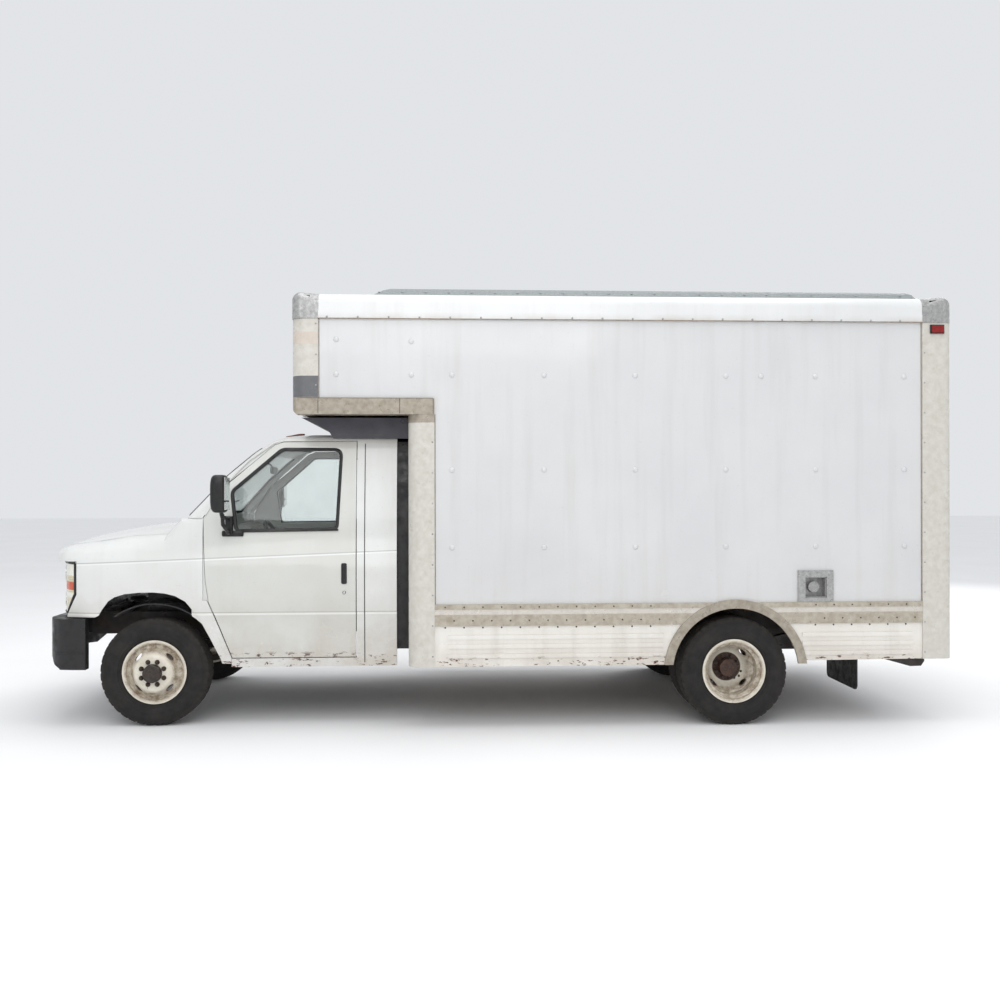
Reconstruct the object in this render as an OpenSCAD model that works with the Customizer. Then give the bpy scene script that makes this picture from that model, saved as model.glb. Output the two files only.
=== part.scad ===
// Box truck: a cutaway van cab on a ladder frame with a riveted cargo box and a loft over the cab.
// Frame: +X is rearward, -Y is the driver's side, +Z is up, the ground is z = 0.
// Modules draw with x measured rearward from the front axle; vehicle() moves them into the row frame.

/* [Overall] */
// Distance between the axles
wheelbase = 4013; // [3800:10:4500]
// Front axle to the foremost point of the bumper
front_overhang = 775; // [760:5:820]
// Rear axle to the rear face of the box
rear_overhang = 1532; // [1400:10:1900]
// Width over the box posts
box_w = 2440; // [2360:10:2500]
// Width over the cab doors
cab_w = 2010; // [1960:5:2040]

/* [Box] */
// Cargo floor surface above the ground
deck_h = 850; // [830:1:880]
// Underside of the loft above the ground
loft_z = 2145; // [2130:5:2200]
// Top of the side roof rails above the ground
box_top = 2965; // [2900:5:3200]
// Side height of the roof rails
roof_rail_h = 175; // [140:5:200]
// Rise of the roof cap over the roof rails
roof_rise = 76; // [40:2:90]
// Front axle to the front face of the box
box_front = 1763; // [1760:1:1790]
// Length of the loft ahead of the box front
loft_l = 783; // [650:5:800]
// Thickness of the box walls
wall_t = 45; // [30:1:60]
// Thickness of the cargo floor boards
floor_t = 32; // [24:1:40]
// Lower edge of the side skirts above the ground
skirt_z = 428; // [400:2:480]

/* [Wheels] */
// Tyre outer radius
tyre_r = 372; // [350:1:380]
// Tyre section width
tyre_w = 223; // [200:1:235]
// Rim flange radius
rim_r = 221; // [215:1:225]
// Rim width over its flanges
rim_w = 176; // [165:1:180]
// Front track between the tyre centres
front_track = 1762; // [1740:2:1790]
// Distance between the wheel centres of a twin pair
twin_pitch = 256; // [250:1:270]
// Half distance between the faces where each twin pair bolts together
twin_plane = 955; // [940:1:970]
// Wheel stud circle diameter
stud_pcd = 165; // [160:1:170]
// Steering pivot half distance
kingpin_y = 745; // [735:1:755]

/* [Frame] */
// Outer half width of the frame rails
frame_hw = 432; // [420:1:440]
// Top of the frame rails above the ground
frame_top = 732; // [720:1:760]
// Height of the frame rails
rail_h = 160; // [140:1:180]
// Flange width of the frame rails
rail_flange = 70; // [60:1:80]
// Metal thickness of the frame rails
rail_t = 8; // [6:1:12]

/* [Panels] */
// Gap between a moving panel and its neighbours
panel_gap = 6; // [5:0.5:8]
// Thickness of a cab door below its window
door_t = 90; // [70:1:110]
// Thickness of the cab's glass
glass_t = 5; // [4:0.5:8]

/* [Hidden] */
$fn = 48;

overall_l = front_overhang + wheelbase + rear_overhang;
front_axle_x = front_overhang - overall_l / 2;
box_rear = wheelbase + rear_overhang;
box_hw = box_w / 2;
cab_hw = cab_w / 2;
wall_out = box_hw - 15;
wall_in = wall_out - wall_t;
frame_bottom = frame_top - rail_h;
loft_front = box_front - loft_l;
hub_z = tyre_r;

white = [0.88, 0.88, 0.87];
panel_white = [0.84, 0.84, 0.86];
aluminium = [0.62, 0.60, 0.57];
chassis_black = [0.06, 0.06, 0.06];
trim_black = [0.07, 0.07, 0.08];
bumper_grey = [0.16, 0.16, 0.17];
rubber_black = [0.05, 0.05, 0.05];

// ---------------------------------------------------------------- helpers
module vehicle() { translate([front_axle_x, 0, 0]) children(); }
module both_sides() { children(); mirror([0, 1, 0]) children(); }
module right_side() { mirror([0, 1, 0]) children(); }
// an outline in x and z, as thick as y0 to y1
module side_plate(points, y0, y1) {
    translate([0, y1, 0]) rotate([90, 0, 0]) linear_extrude(height = y1 - y0) polygon(points);
}
// an outline in y and z, as long as x0 to x1
module section_bar(points, x0, x1) {
    translate([x0, 0, 0]) rotate([90, 0, 90]) linear_extrude(height = x1 - x0) polygon(points);
}
// an outline in x and y, as high as z0 to z1
module plan_plate(points, z0, z1) { translate([0, 0, z0]) linear_extrude(height = z1 - z0) polygon(points); }
module block(x0, x1, y0, y1, z0, z1) { translate([x0, y0, z0]) cube([x1 - x0, y1 - y0, z1 - z0]); }
// a round bar along y
module bar_y(r, y0, y1) { translate([0, y0, 0]) rotate([-90, 0, 0]) cylinder(r = r, h = y1 - y0); }
function arc(cx, cy, r, a0, a1, n = 8) =
    [for (i = [0 : n]) let (a = a0 + (a1 - a0) * i / n) [cx + r * cos(a), cy + r * sin(a)]];
function oval_arc(cx, cy, rx, ry, a0, a1, n = 16) =
    [for (i = [0 : n]) let (a = a0 + (a1 - a0) * i / n) [cx + rx * cos(a), cy + ry * sin(a)]];
function lerp(a, b, t) = a + (b - a) * t;
// triangles of the quad strip between two rows of m points that start at a and b
function strip(a, b, m, flip = false) = [for (i = [0 : m - 2]) each flip
    ? [[a + i, b + i, a + i + 1], [a + i + 1, b + i, b + i + 1]]
    : [[a + i, a + i + 1, b + i], [a + i + 1, b + i + 1, b + i]]];
// a sheet with real thickness: rows of points on its outer face and the matching rows on its inner face
module sheet_solid(outer, inner) {
    n = len(outer);
    m = len(outer[0]);
    k = n * m;
    polyhedron(convexity = 8,
        points = [for (row = outer) each row, for (row = inner) each row],
        faces = [for (r = [0 : n - 2]) each strip(r * m, (r + 1) * m, m),
                 for (r = [0 : n - 2]) each strip(k + r * m, k + (r + 1) * m, m, true),
                 each strip(k, 0, m), each strip((n - 1) * m, k + (n - 1) * m, m),
                 for (r = [0 : n - 2]) each [[r * m, (r + 1) * m, k + r * m],
                      [k + r * m, (r + 1) * m, k + (r + 1) * m]],
                 for (r = [0 : n - 2]) let (a = r * m + m - 1, b = a + m)
                     each [[a, k + a, b], [b, k + a, k + b]]]);
}
// closed rings of points stacked upwards
module ring_solid(rings) {
    n = len(rings);
    m = len(rings[0]);
    polyhedron(convexity = 8,
        points = [for (ring = rings) each ring],
        faces = [[for (i = [0 : m - 1]) i], [for (i = [m - 1 : -1 : 0]) (n - 1) * m + i],
                 for (r = [0 : n - 2], i = [0 : m - 1]) let (a = r * m + i, b = r * m + (i + 1) % m)
                     each [[a, a + m, b], [b, a + m, b + m]]]);
}

// ---------------------------------------------------------------- cab surfaces
crease_z = 1162;
ledge_z = 783;
belt_z = 1345;
cab_rear = box_front - 88;
door_front = 344;
door_rear = 1391;
door_bottom = 470;
rocker_z = 405;
rocker_top = door_bottom - panel_gap;
roof_z = 2038;
shell_t = 40;
arch_r = tyre_r + 98;
// how far the cab side lies inside the full half width at each height
function side_in(z) = lookup(z, [[400, 22], [600, 10], [ledge_z - 6, 6], [ledge_z + 6, 1], [crease_z - 6, 0],
    [crease_z + 4, 5], [belt_z, 16], [1500, 36], [1900, 92], [1960, 106], [1990, 124], [2012, 165], [2028, 260],
    [roof_z, 440]]);
function side_y(z) = cab_hw - side_in(z);
// the windshield pillar line seen from the side
function wind_x(z) = lookup(z, [[1400, 190], [1440, 215], [1567, 333], [1740, 491], [1900, 680], [1960, 770],
    [1990, 825], [2012, 880], [2028, 980], [roof_z, 1150]]);
wind_bow = 70;
post_r = 70;
cab_levels = [1440, 1500, 1567, 1740, 1900, 1960, 1990, 2012, 2028, roof_z];
// one ring of the cab's upper body at height z, drawn inset by t and lowered by drop
function cab_ring(z, t, drop, rear) =
    let (w = side_y(z) - t, xf = wind_x(z) + t * 1.2, r = post_r - t / 2)
    [for (p = concat(
        [[rear, -w], [rear, w]],
        arc(xf + r, w - r, r, 90, 180, 5),
        [for (i = [4 : -1 : -4]) let (u = i / 5) [xf - wind_bow * (1 - u * u), u * (w - r)]],
        arc(xf + r, -w + r, r, 180, 270, 5))) [p[0], p[1], z - drop]];
module cab_volume(t, drop, rear) { ring_solid([for (z = cab_levels) cab_ring(z, t, drop, rear)]); }
// cab side section between the heights z0 and z1, as thick as the insets t0 to t1
side_zs = [rocker_z, 600, ledge_z - 6, ledge_z + 6, crease_z - 6, crease_z + 4, belt_z, 1500, 1900, 1960, 1990];
function side_line(z0, z1, t) = concat([[-(side_y(z0) - t), z0]],
    [for (z = side_zs) if (z > z0 && z < z1) [-(side_y(z) - t), z]], [[-(side_y(z1) - t), z1]]);
function reversed(list) = [for (i = [len(list) - 1 : -1 : 0]) list[i]];
function side_band(z0, z1, t0, t1) = concat(side_line(z0, z1, t0), reversed(side_line(z0, z1, t1)));
// the windshield's surface, t inside the outer face, over |u| of its width
wind_zs = [1452, 1567, 1740, 1900, 1935];
function wind_row(z, t, u_max) = [for (i = [-6 : 6])
    let (u = u_max * i / 6, w = side_y(z) - post_r)
    [wind_x(z) - wind_bow * (1 - u * u) + 0.69 * t, u * w, z - 0.72 * t]];
module wind_sheet(t0, t1, u_max, grow) {
    levels = [for (i = [0 : 4]) wind_zs[i] + (i == 0 ? -grow : i == 4 ? grow : 0)];
    sheet_solid([for (z = levels) wind_row(z, t0, u_max)], [for (z = levels) wind_row(z, t1, u_max)]);
}
// outlines of the door, its window and what surrounds them, in x and z
door_outline = [[539, door_bottom], [door_rear, door_bottom], [door_rear, 1976], [880, 1970], [818, 1946],
    [490, 1666], [340, 1441], [344, 1300], [358, 1005], [379, 862], [462, 665]];
door_inner = [[566, 495], [1366, 495], [1366, 1340], [372, 1340], [372, 1290], [386, 1010], [405, 872], [488, 675]];
window_outline = [[566, 1352], [1258, 1362], [1283, 1890], [1257, 1916], [872, 1918], [531, 1622]];
// the door's outline grown by the panel gap, as the hole that the door closes
module door_hole() {
    rotate([90, 0, 0]) translate([0, 0, 600]) linear_extrude(height = 500)
        offset(delta = panel_gap) polygon(door_outline);
}
function shrunk(points, centre, k) = [for (p = points) centre + (p - centre) * k];

// hood and fender surfaces
function hood_c(x) = lookup(x, [[-760, 1170], [-750, 1195], [-712, 1243], [-620, 1292], [-475, 1326], [-202, 1375],
    [60, 1392], [200, 1402]]);
function seam_drop(x) = lookup(x, [[-750, 16], [-600, 42], [-400, 62], [200, 66]]);
function seam_y(x) = lookup(x, [[-760, 690], [-600, 770], [-300, 800], [200, 815]]);
function hood_z(x, u) = hood_c(x) - seam_drop(x) * pow(abs(u), 2.2);
function fender_y(x) = cab_hw - lookup(x, [[-760, 270], [-700, 160], [-650, 100], [-600, 62], [-450, 20], [-300, 5],
    [-100, 0]]);
hood_rows = [[-758, 1150, 118], [-757, 0, 116], [-740, 0, 112], [-700, 0, 104], [-620, 0, 80], [-475, 0, 30],
    [-202, 0, 10], [-60, 0, 20], [58, 0, 60]];
function hood_row(row, t) = [for (i = [-10 : 10])
    let (u = i / 10, x = row[0] + row[2] * u * u, z = row[1] > 0 ? row[1] - 8 * u * u : hood_z(x, u))
    [x + (row[1] > 0 || x < -700 ? t : 0), u * seam_y(x), z - (row[1] > 0 ? 0 : t)]];

// ---------------------------------------------------------------- chassis
module rail() {
    section_bar([[-frame_hw, frame_bottom], [-frame_hw + rail_flange, frame_bottom],
        [-frame_hw + rail_flange, frame_bottom + rail_t], [-frame_hw + rail_t, frame_bottom + rail_t],
        [-frame_hw + rail_t, frame_top - rail_t], [-frame_hw + rail_flange, frame_top - rail_t],
        [-frame_hw + rail_flange, frame_top], [-frame_hw, frame_top]], -600, box_rear - 105);
}
// a crossmember that drops below the rails to z
module drop_member(x0, x1, z) {
    w = frame_hw - rail_t / 2;
    section_bar([[-w, frame_bottom + 30], [-w, z], [w, z], [w, frame_bottom + 30], [w - 24, frame_bottom + 30],
        [w - 24, z + 24], [24 - w, z + 24], [24 - w, frame_bottom + 30]], x0, x1);
}
member_h = 60;
member_top = frame_top - 20;
member_xs = [1560, 2350, wheelbase - 863, wheelbase + 327, box_rear - 365];
bumper_x0 = box_rear - 423;
bumper_x1 = box_rear - 101;
hitch_x = box_rear - 155;
hitch_r = 13;
step_z = 439;
spring_y = 540;
leaf_w = 76;
leaf_front = wheelbase - 640;
leaf_rear = wheelbase + 700;
eye_z = 528;
module frame() color(chassis_black) vehicle() {
    both_sides() {
        rail();
        for (x = [leaf_front, leaf_rear])
            block(x - 22, x + 22, -spring_y - leaf_w / 2, -frame_hw + 1, eye_z + 18, 660);
        block(-75, 75, -640, -frame_hw + 1, 660, 676);
        block(-75, -62, -600, -frame_hw + 1, 600, 661);
        block(62, 75, -600, -frame_hw + 1, 600, 661);
        block(980, 1030, -500, -frame_hw + 1, 522.3, 640);
        for (x = [bumper_x0 + 118, bumper_x0 + 270])
            block(x, x + 16, -frame_hw - 1, -frame_hw + 60, step_z + 0.3, frame_bottom + 1);
    }
    for (x = member_xs)
        block(x - 30, x + 30, -frame_hw + 4, frame_hw - 4, member_top - member_h, member_top);
    block(-600, -540, -frame_hw + 4, frame_hw - 4, frame_bottom + 20, frame_top);
    drop_member(-60, 60, 480);
    drop_member(1100, 1180, shaft_z0 - gearbox_r - 24.3);
    block(-48, -4, 235, 285, 470, 482);
    block(4, 48, -285, -235, 470, 482);
}
module engine_block() color([0.2, 0.2, 0.21]) vehicle() {
    block(-230, 290, -300, 300, 520, 1120);
    block(289, 480, -220, 220, 520, 930);
    translate([479, 0, shaft_z0]) rotate([0, 90, 0]) cylinder(r = gearbox_r, h = 720);
    both_sides() block(-30, 30, -frame_hw + rail_t, -299, frame_bottom + 48, frame_bottom + 108);
}
module front_axle() color(chassis_black) vehicle() {
    for (side = [0, 1]) mirror([0, side, 0]) mirror([side, 0, 0]) {
        difference() {
            union() {
                section_bar([[262, 470], [262, 420], [-540, 300], [-700, 326], [-722, 326], [-722, 418], [-700, 418],
                    [-560, 380], [200, 470]], -48, -6);
                translate([0, -kingpin_y, 326]) cylinder(r = 30, h = 92);
                translate([0, -spring_seat_y, 340]) cylinder(r = 60, h = 42);
            }
            translate([0, -kingpin_y, 300]) cylinder(r = 15, h = 150);
        }
    }
    both_sides() side_plate([[30, 330], [30, 372], [1000, 522], [1024, 498], [1000, 480]], -475, -440);
    both_sides() block(-48, 48, -475, -440, 336, 372);
}
spring_seat_y = 560;
// one coil of the front springs, as a tube swept along its helix
module coil(r, wire, z0, z1, turns) {
    steps = 12 * turns;
    function at(i) = let (a = 360 * i / 12) [r * cos(a), r * sin(a), lerp(z0, z1, i / steps)];
    rings = [for (i = [0 : steps]) let (a = 360 * i / 12)
        [for (k = [0 : 5]) at(i) + wire * [cos(60 * k) * cos(a), cos(60 * k) * sin(a), sin(60 * k)]]];
    ring_solid_open(rings);
}
module ring_solid_open(rings) {
    n = len(rings);
    m = len(rings[0]);
    polyhedron(convexity = 8,
        points = [for (ring = rings) each ring],
        faces = [[for (i = [m - 1 : -1 : 0]) i], [for (i = [0 : m - 1]) (n - 1) * m + i],
                 for (r = [0 : n - 2], i = [0 : m - 1]) let (a = r * m + i, b = r * m + (i + 1) % m)
                     each [[a, b, a + m], [b, b + m, a + m]]]);
}
module coil_springs() both_sides()
    translate([0, -spring_seat_y, 0]) coil(46, 8, 389.3, 652.8, 5);
module rear_axle() color(chassis_black) vehicle() translate([wheelbase, 0, hub_z]) {
    bar_y(46, -838, 838);
    both_sides() bar_y(44.7, -925, -837);
    sphere(r = 150);
    rotate([0, -90, 0]) cylinder(r = 62, h = 235);
    both_sides() block(-60, 60, -spring_y - 44, -spring_y + 44, 30, 58);
}
function leaf(x0, x1, z, t) = concat(
    [for (i = [0 : 10]) let (x = lerp(x0, x1, i / 10)) [x, z + x * x * 1.9e-4]],
    [for (i = [10 : -1 : 0]) let (x = lerp(x0, x1, i / 10)) [x, z + t + x * x * 1.9e-4]]);
module springs() color([0.12, 0.10, 0.09]) vehicle() {
    leaf_springs();
    coil_springs();
}
module leaf_springs() both_sides() {
    t = 13;
    translate([wheelbase, 0, 0]) for (k = [0 : 3])
        side_plate(leaf(-600 + 120 * (3 - k), 650 - 130 * (3 - k), hub_z + 58.3 + (t - 0.01) * k, t),
            -spring_y - leaf_w / 2, -spring_y + leaf_w / 2);
    for (x = [leaf_front, leaf_rear])
        translate([x, 0, eye_z]) bar_y(18, -spring_y - leaf_w / 2, -spring_y + leaf_w / 2);
    side_plate([[leaf_front, eye_z - 10], [leaf_front, eye_z + 6], [wheelbase - 580, 542], [wheelbase - 560, 520]],
        -spring_y - leaf_w / 2, -spring_y + leaf_w / 2);
    side_plate([[leaf_rear, eye_z - 10], [leaf_rear, eye_z + 14], [wheelbase + 620, 556], [wheelbase + 600, 534]],
        -spring_y - leaf_w / 2, -spring_y + leaf_w / 2);
}
// the driveshaft runs between the faces of the gearbox and the axle's pinion housing
gearbox_face = 1199;
pinion_face = wheelbase - 235;
shaft_r = 42;
shaft_gap = 0.5;
shaft_z0 = 615;
gearbox_r = 106;
module driveshaft() color([0.25, 0.24, 0.23]) vehicle() {
    fall = shaft_z0 - hub_z;
    inset = shaft_gap + shaft_r * sin(atan(fall / (pinion_face - gearbox_face)));
    run = pinion_face - gearbox_face - 2 * inset;
    translate([gearbox_face + inset, 0, shaft_z0]) rotate([0, 90 + atan(fall / run), 0])
        cylinder(r = shaft_r, h = norm([run, fall]));
}
tail_x = wheelbase - 933;
module exhaust() color([0.42, 0.36, 0.31]) vehicle() translate([0, 330, 0]) {
    translate([290.3, -60, 545]) rotate([0, 90, 0]) cylinder(r = 28, h = 1610);
    translate([1890, -80, 545]) rotate([0, 90, 0]) cylinder(r = 95, h = 640);
    translate([2520, -60, 545]) rotate([0, 90, 0]) cylinder(r = 28, h = tail_x - 2520);
    block(tail_x - 30, tail_x + 10, -88, 620, 505, 560);
    block(1960, 1985, -30, frame_hw - rail_t - 330.3, frame_bottom + 18, frame_bottom + 64);
}
tank_x0 = wheelbase + 387;
tank_x1 = box_rear - 425;
module fuel_tank() color(chassis_black) vehicle() {
    block(tank_x0, tank_x1, -345, 345, 395, 690);
    both_sides() for (x = [tank_x0 + 120, tank_x1 - 160])
        block(x, x + 40, -frame_hw + rail_t, -344, frame_bottom + 28, frame_bottom + 68);
}

// ---------------------------------------------------------------- wheels, drawn with +z outboard
hub_offset = twin_pitch / 2;
module tyre_shape() {
    h = tyre_w / 2;
    half = [[203.8, h - 36], [222, h - 33], [229, h - 20], [252, h - 6], [286, h], [320, h - 2], [346, h - 10],
        [360, h - 18], [tyre_r - 2, h - 30], [tyre_r, h - 52]];
    rotate_extrude($fn = 96) polygon(concat(half, [for (p = reversed(half)) [p[0], -p[1]]]));
}
module rim_barrel() {
    h = rim_w / 2;
    r = rim_r;
    rotate_extrude($fn = 96) polygon([[r, h], [r, h - 6], [r - 13, h - 7], [203.5, h - 10], [203.5, 52], [181, 40],
        [181, -35], [203.5, -50], [203.5, 10 - h], [r - 13, 7 - h], [r, 6 - h], [r, -h], [r - 15, -h], [197, 8 - h],
        [197, -54], [174.5, -38], [174.5, 43], [196, 57], [197, h - 8], [r - 15, h]]);
}
disc_t = 12;
module rim_disc(bore = 62) {
    o = hub_offset;
    difference() {
        rotate_extrude($fn = 96) polygon([[bore, o], [106, o], [124, o - 5], [143, o - 22], [158, o - 44],
            [172, o - 64], [191, o - 74], [182, o - 86], [164, o - 76], [148, o - 54], [133, o - 32], [117, o - 16],
            [104, o - disc_t], [bore, o - disc_t]]);
        for (i = [0 : 7]) rotate(22.5 + 45 * i) translate([stud_pcd / 2, 0, o - 40]) cylinder(r = 8, h = 60);
        for (i = [0 : 3]) rotate(45 + 90 * i) translate([0, 0, o - 110])
            linear_extrude(height = 160) polygon(oval_arc(150, 0, 12, 34, 0, 345, 23));
    }
}
module wheel_at(x, y) { translate([x, -y, hub_z]) rotate([90, 0, 0]) children(); }
front_y = front_track / 2;
hub_face = front_y + hub_offset - disc_t;
module front_tyre() vehicle() wheel_at(0, front_y) tyre_shape();
module front_rim() vehicle() {
    wheel_at(0, front_y) { rim_barrel(); rim_disc(); }
    wheel_at(0, hub_face) translate([0, 0, -130]) difference() {
        union() {
            cylinder(r = 61.5, h = 175);
            cylinder(r = 80, h = 130);
            cylinder(r = 145, h = 22);
        }
        translate([0, 0, -1]) cylinder(r = 28.6, h = 126);
    }
}
inner_y = twin_plane - hub_offset;
outer_y = twin_plane + hub_offset;
module rear_tyres() vehicle() for (y = [inner_y, outer_y]) wheel_at(wheelbase, y) tyre_shape();
module rear_rims() vehicle() {
    wheel_at(wheelbase, inner_y) { rim_barrel(); rim_disc(); }
    wheel_at(wheelbase, outer_y) mirror([0, 0, 1]) { rim_barrel(); rim_disc(); }
    wheel_at(wheelbase, twin_plane - disc_t) difference() {
        union() {
            translate([0, 0, -95]) cylinder(r = 80, h = 95);
            translate([0, 0, -95]) cylinder(r = 61.5, h = 185);
            translate([0, 0, -95]) cylinder(r = 145, h = 30);
        }
        translate([0, 0, -96]) cylinder(r = 45, h = 90);
    }
}
module front_tyre_left() color(rubber_black) front_tyre();
module front_tyre_right() color(rubber_black) right_side() front_tyre();
module front_rim_left() color(white) front_rim();
module front_rim_right() color(white) right_side() front_rim();
module rear_tyres_left() color(rubber_black) rear_tyres();
module rear_tyres_right() color(rubber_black) right_side() rear_tyres();
module rear_rims_left() color(white) rear_rims();
module rear_rims_right() color(white) right_side() rear_rims();
module knuckle() vehicle() translate([0, -kingpin_y, 0]) {
    translate([0, 0, 290]) cylinder(r = 14.6, h = 164);
    for (z = [290, 424]) {
        translate([0, 0, z]) cylinder(r = 30, h = 30);
        block(-30, 30, -56, 0, z, z + 30);
    }
    block(-42, 42, -56, -37, 290, 454);
    translate([0, 0, hub_z]) bar_y(28, kingpin_y - hub_face + 10, -40);
    block(30, 120, -104, -44, 345, 399);
    // brake caliper around the disc
    difference() {
        block(96, 160, -162, -96, 334, 410);
        block(90, 151, -150, -116, 300, 440);
    }
}
module knuckle_left() color([0.2, 0.18, 0.17]) knuckle();
module knuckle_right() color([0.2, 0.18, 0.17]) right_side() knuckle();

// ---------------------------------------------------------------- cab
module cab_shell() color(white) vehicle() resize([0, 0, 0]) {
    cab_frame();
    // hood hinge arms and door stops
    both_sides() {
        block(70, 301, -728, -700, 1299, 1319);
        block(340, 381.7, -945, -915, 1060, 1090);
    }
}
module cab_frame() difference() {
    union() {
        difference() {
            cab_volume(0, 0, cab_rear);
            translate([0, 0, -2]) cab_volume(shell_t, 26, cab_rear - 30);
        }
        both_sides() {
            section_bar(side_band(rocker_z, 1446, 0.3, 60), door_rear - 30, cab_rear);
            section_bar(side_band(rocker_z, rocker_top, 0, 90), 533.5, door_rear - 10);
            section_bar(side_band(600, 1446, 13.4, 90), 262, door_front + 60);
            block(door_front - 90, door_front + 60, -cab_hw + 42, -cab_hw + 90, 600, 1442);
        }
        block(cab_rear - 30, cab_rear, -cab_hw + 58, cab_hw - 58, 744, 1442);
        difference() {
            block(300, 316, -900, 900, 744, 1385);
            block(290, 320, -226, 226, 700, 936);
        }
        plan_plate(concat([for (i = [-5 : 5]) let (u = i / 5) [66 + 60 * u * u, 880 * u]], [[316, 880], [316, -880]]),
            1366, 1386);
        plan_plate(concat([for (i = [-5 : 5]) let (u = i / 5) [150 + 60 * u * u, 880 * u]], [[316, 880], [316, -880]]),
            1380, 1444);
    }
    wind_sheet(-60, 90, 1, 1.5);
    both_sides() door_hole();
    both_sides() translate([0, 0, hub_z]) bar_y(arch_r, -1100, -560);
}
module cab_floor() color([0.18, 0.18, 0.18]) vehicle() difference() {
    union() {
        block(316, cab_rear - 30, -700, 700, frame_top, frame_top + 12);
        both_sides() {
            block(480, door_rear - 30, -712, -700, rocker_top - 12, frame_top + 12);
            block(480, door_rear - 30, -890, -700, rocker_top - 12, rocker_top);
            block(480, 492, -890, -700, rocker_top - 12, frame_top + 12);
            block(door_rear - 42, door_rear - 30, -890, -700, rocker_top - 12, frame_top + 12);
            block(door_rear - 20, cab_rear - 30.3, -936, -700, frame_top, frame_top + 12);
            block(door_rear - 30, door_rear - 20, -890, -700, frame_top, frame_top + 12);
            block(316, 492, -890, -700, frame_top, frame_top + 12);
        }
    }
    block(300, 486, -226, 226, frame_top - 1, frame_top + 13);
    both_sides() translate([0, 0, hub_z]) bar_y(arch_r, -1100, -560);
}
module hood() color(white) vehicle()
    sheet_solid([for (row = hood_rows) hood_row(row, 0)], [for (row = hood_rows) hood_row(row, 22)]);
fender_xs = [-690, -670, -640, -600, -530, -475, -400, -300, -202, -100, 60, 130, 190, 260, 337];
// the fender's shoulder from the crease up to the hood seam, or to the windshield's foot behind it
function fender_top(x, t) =
    let (zt = x < 61 ? hood_z(x, 1) - 2 : lookup(x, [[60, hood_z(60, 1) - 2], [130, 1392], [190, 1436], [337, 1439]]),
        y0 = x < 61 ? seam_y(x) + panel_gap : lookup(x, [[60, seam_y(60) + panel_gap], [130, 900], [190, 962], [337, 970]]),
        y1 = fender_y(x) - 5, z0 = crease_z + 4)
    [for (a = [90 : -15 : 0]) [y0 + (y1 - y0) * sin(a) - t * sin(a), z0 + (zt - z0) * cos(a) - t * cos(a)]];
fender_low_zs = [430, 600, ledge_z - 6, ledge_z + 6, crease_z - 6];
function fender_row(x, t) = concat(
    [for (z = fender_low_zs) [x, -(fender_y(x) - side_in(z) - t), z]],
    [for (p = fender_top(x, t)) [x, -p[0], p[1]]]);
arch_outline = [[-431, 740], [-375, 768], [-345, 815], [-305, 868], [-260, 898], [-209, 916], [-100, 927], [-2, 929],
    [80, 921], [150, 903], [220, 864], [303, 764], [387, 608], [457, 465], [470, 425], [470, 300], [-431, 300]];
module fender() vehicle() difference() {
    sheet_solid([for (x = fender_xs) fender_row(x, 0)], [for (x = fender_xs) fender_row(x, 13)]);
    side_plate(arch_outline, -1100, -700);
    block(-720, -380, -1100, -600, 400, 757);
    side_plate([[-720, 700], [-720, 1142], [-530, 1142], [-530, 912], [-600, 770], [-600, 700]], -1100, -500);
    side_plate([[330, 1500], [337, 1441], [337, 1300], [351, 1005], [372, 858], [400, 700], [500, 1500]], -1100, -500);
}
module fender_toe() vehicle() difference() {
    section_bar(side_band(rocker_z + 25, 870, 0, 13), 330, 533);
    side_plate([[531, 400], [532, 470], [455, 662], [372, 858], [340, 900], [600, 900],
        [600, 400]], -1100, -700);
    side_plate(arch_outline, -1100, -700);
}
module fender_left() color(white) { fender(); fender_toe(); }
module fender_right() color(white) right_side() { fender(); fender_toe(); }
module windshield() color([0.3, 0.36, 0.36]) vehicle() wind_sheet(6, 6 + glass_t, 0.9993, 0.8);
module wheel_liners() color(trim_black) vehicle() both_sides() difference() {
    translate([0, 0, hub_z]) difference() {
        bar_y(arch_r + 8, -975, -570);
        bar_y(arch_r, -1000, -500);
    }
    block(-600, 600, -1100, -400, -200, 758);
    side_plate([[253.7, 600], [253.7, 1000], [600, 1000], [600, 600]], -1100, -400);
}
nose_xs = [[-757, 0], [-752, 300], [-738, 480], [-712, 620], [-678, 740], [-640, 830], [-600, 895], [-560, 938],
    [-536, 955]];
lamp_inner_y = 560;
module headlamps() color([0.75, 0.72, 0.6]) vehicle() both_sides() intersection() {
    plan_plate(concat([[-600, -lamp_inner_y], [-730, -lamp_inner_y]], [for (p = nose_xs) if (p[1] > lamp_inner_y)
        [p[0], -p[1]]], [[-536, -900], [-600, -830]]), 774, 1136);
    side_plate([[-800, 774], [-608, 774], [-536, 912], [-536, 1136], [-800, 1136]], -1000, -500);
}
module grille() color(trim_black) vehicle() {
    nose_panel();
    nose_legs();
    difference() {
        plan_plate(concat([for (p = reversed(nose_xs)) if (p[1] < lamp_inner_y) [p[0] + 8, -p[1]]],
            [for (p = nose_xs) if (p[1] < lamp_inner_y && p[1] > 0) [p[0] + 8, p[1]]],
            [[-730, lamp_inner_y - 4], [-690, lamp_inner_y - 4], [-690, 4 - lamp_inner_y], [-730, 4 - lamp_inner_y]]),
            770, 1140);
        for (i = [0 : 4]) block(-800, -600, -500, 500, 800 + 64 * i, 842 + 64 * i);
    }
    both_sides() block(-691, -600, -540, -510, 800, 1100);
}
module nose_panel() difference() {
    block(-600, -582, -825, 825, 757, 1140);
    block(-700, -500, -480, 480, 790, 1110);
}
module nose_legs() both_sides() block(-599.7, -582, -frame_hw + 4, -frame_hw + 60, frame_top + 0.3, 770);
bumper_plan = [[-775, 0], [-773, 300], [-767, 560], [-752, 760], [-725, 880], [-680, 955], [-620, 992], [-540, 1005],
    [-455, 1008]];
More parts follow.
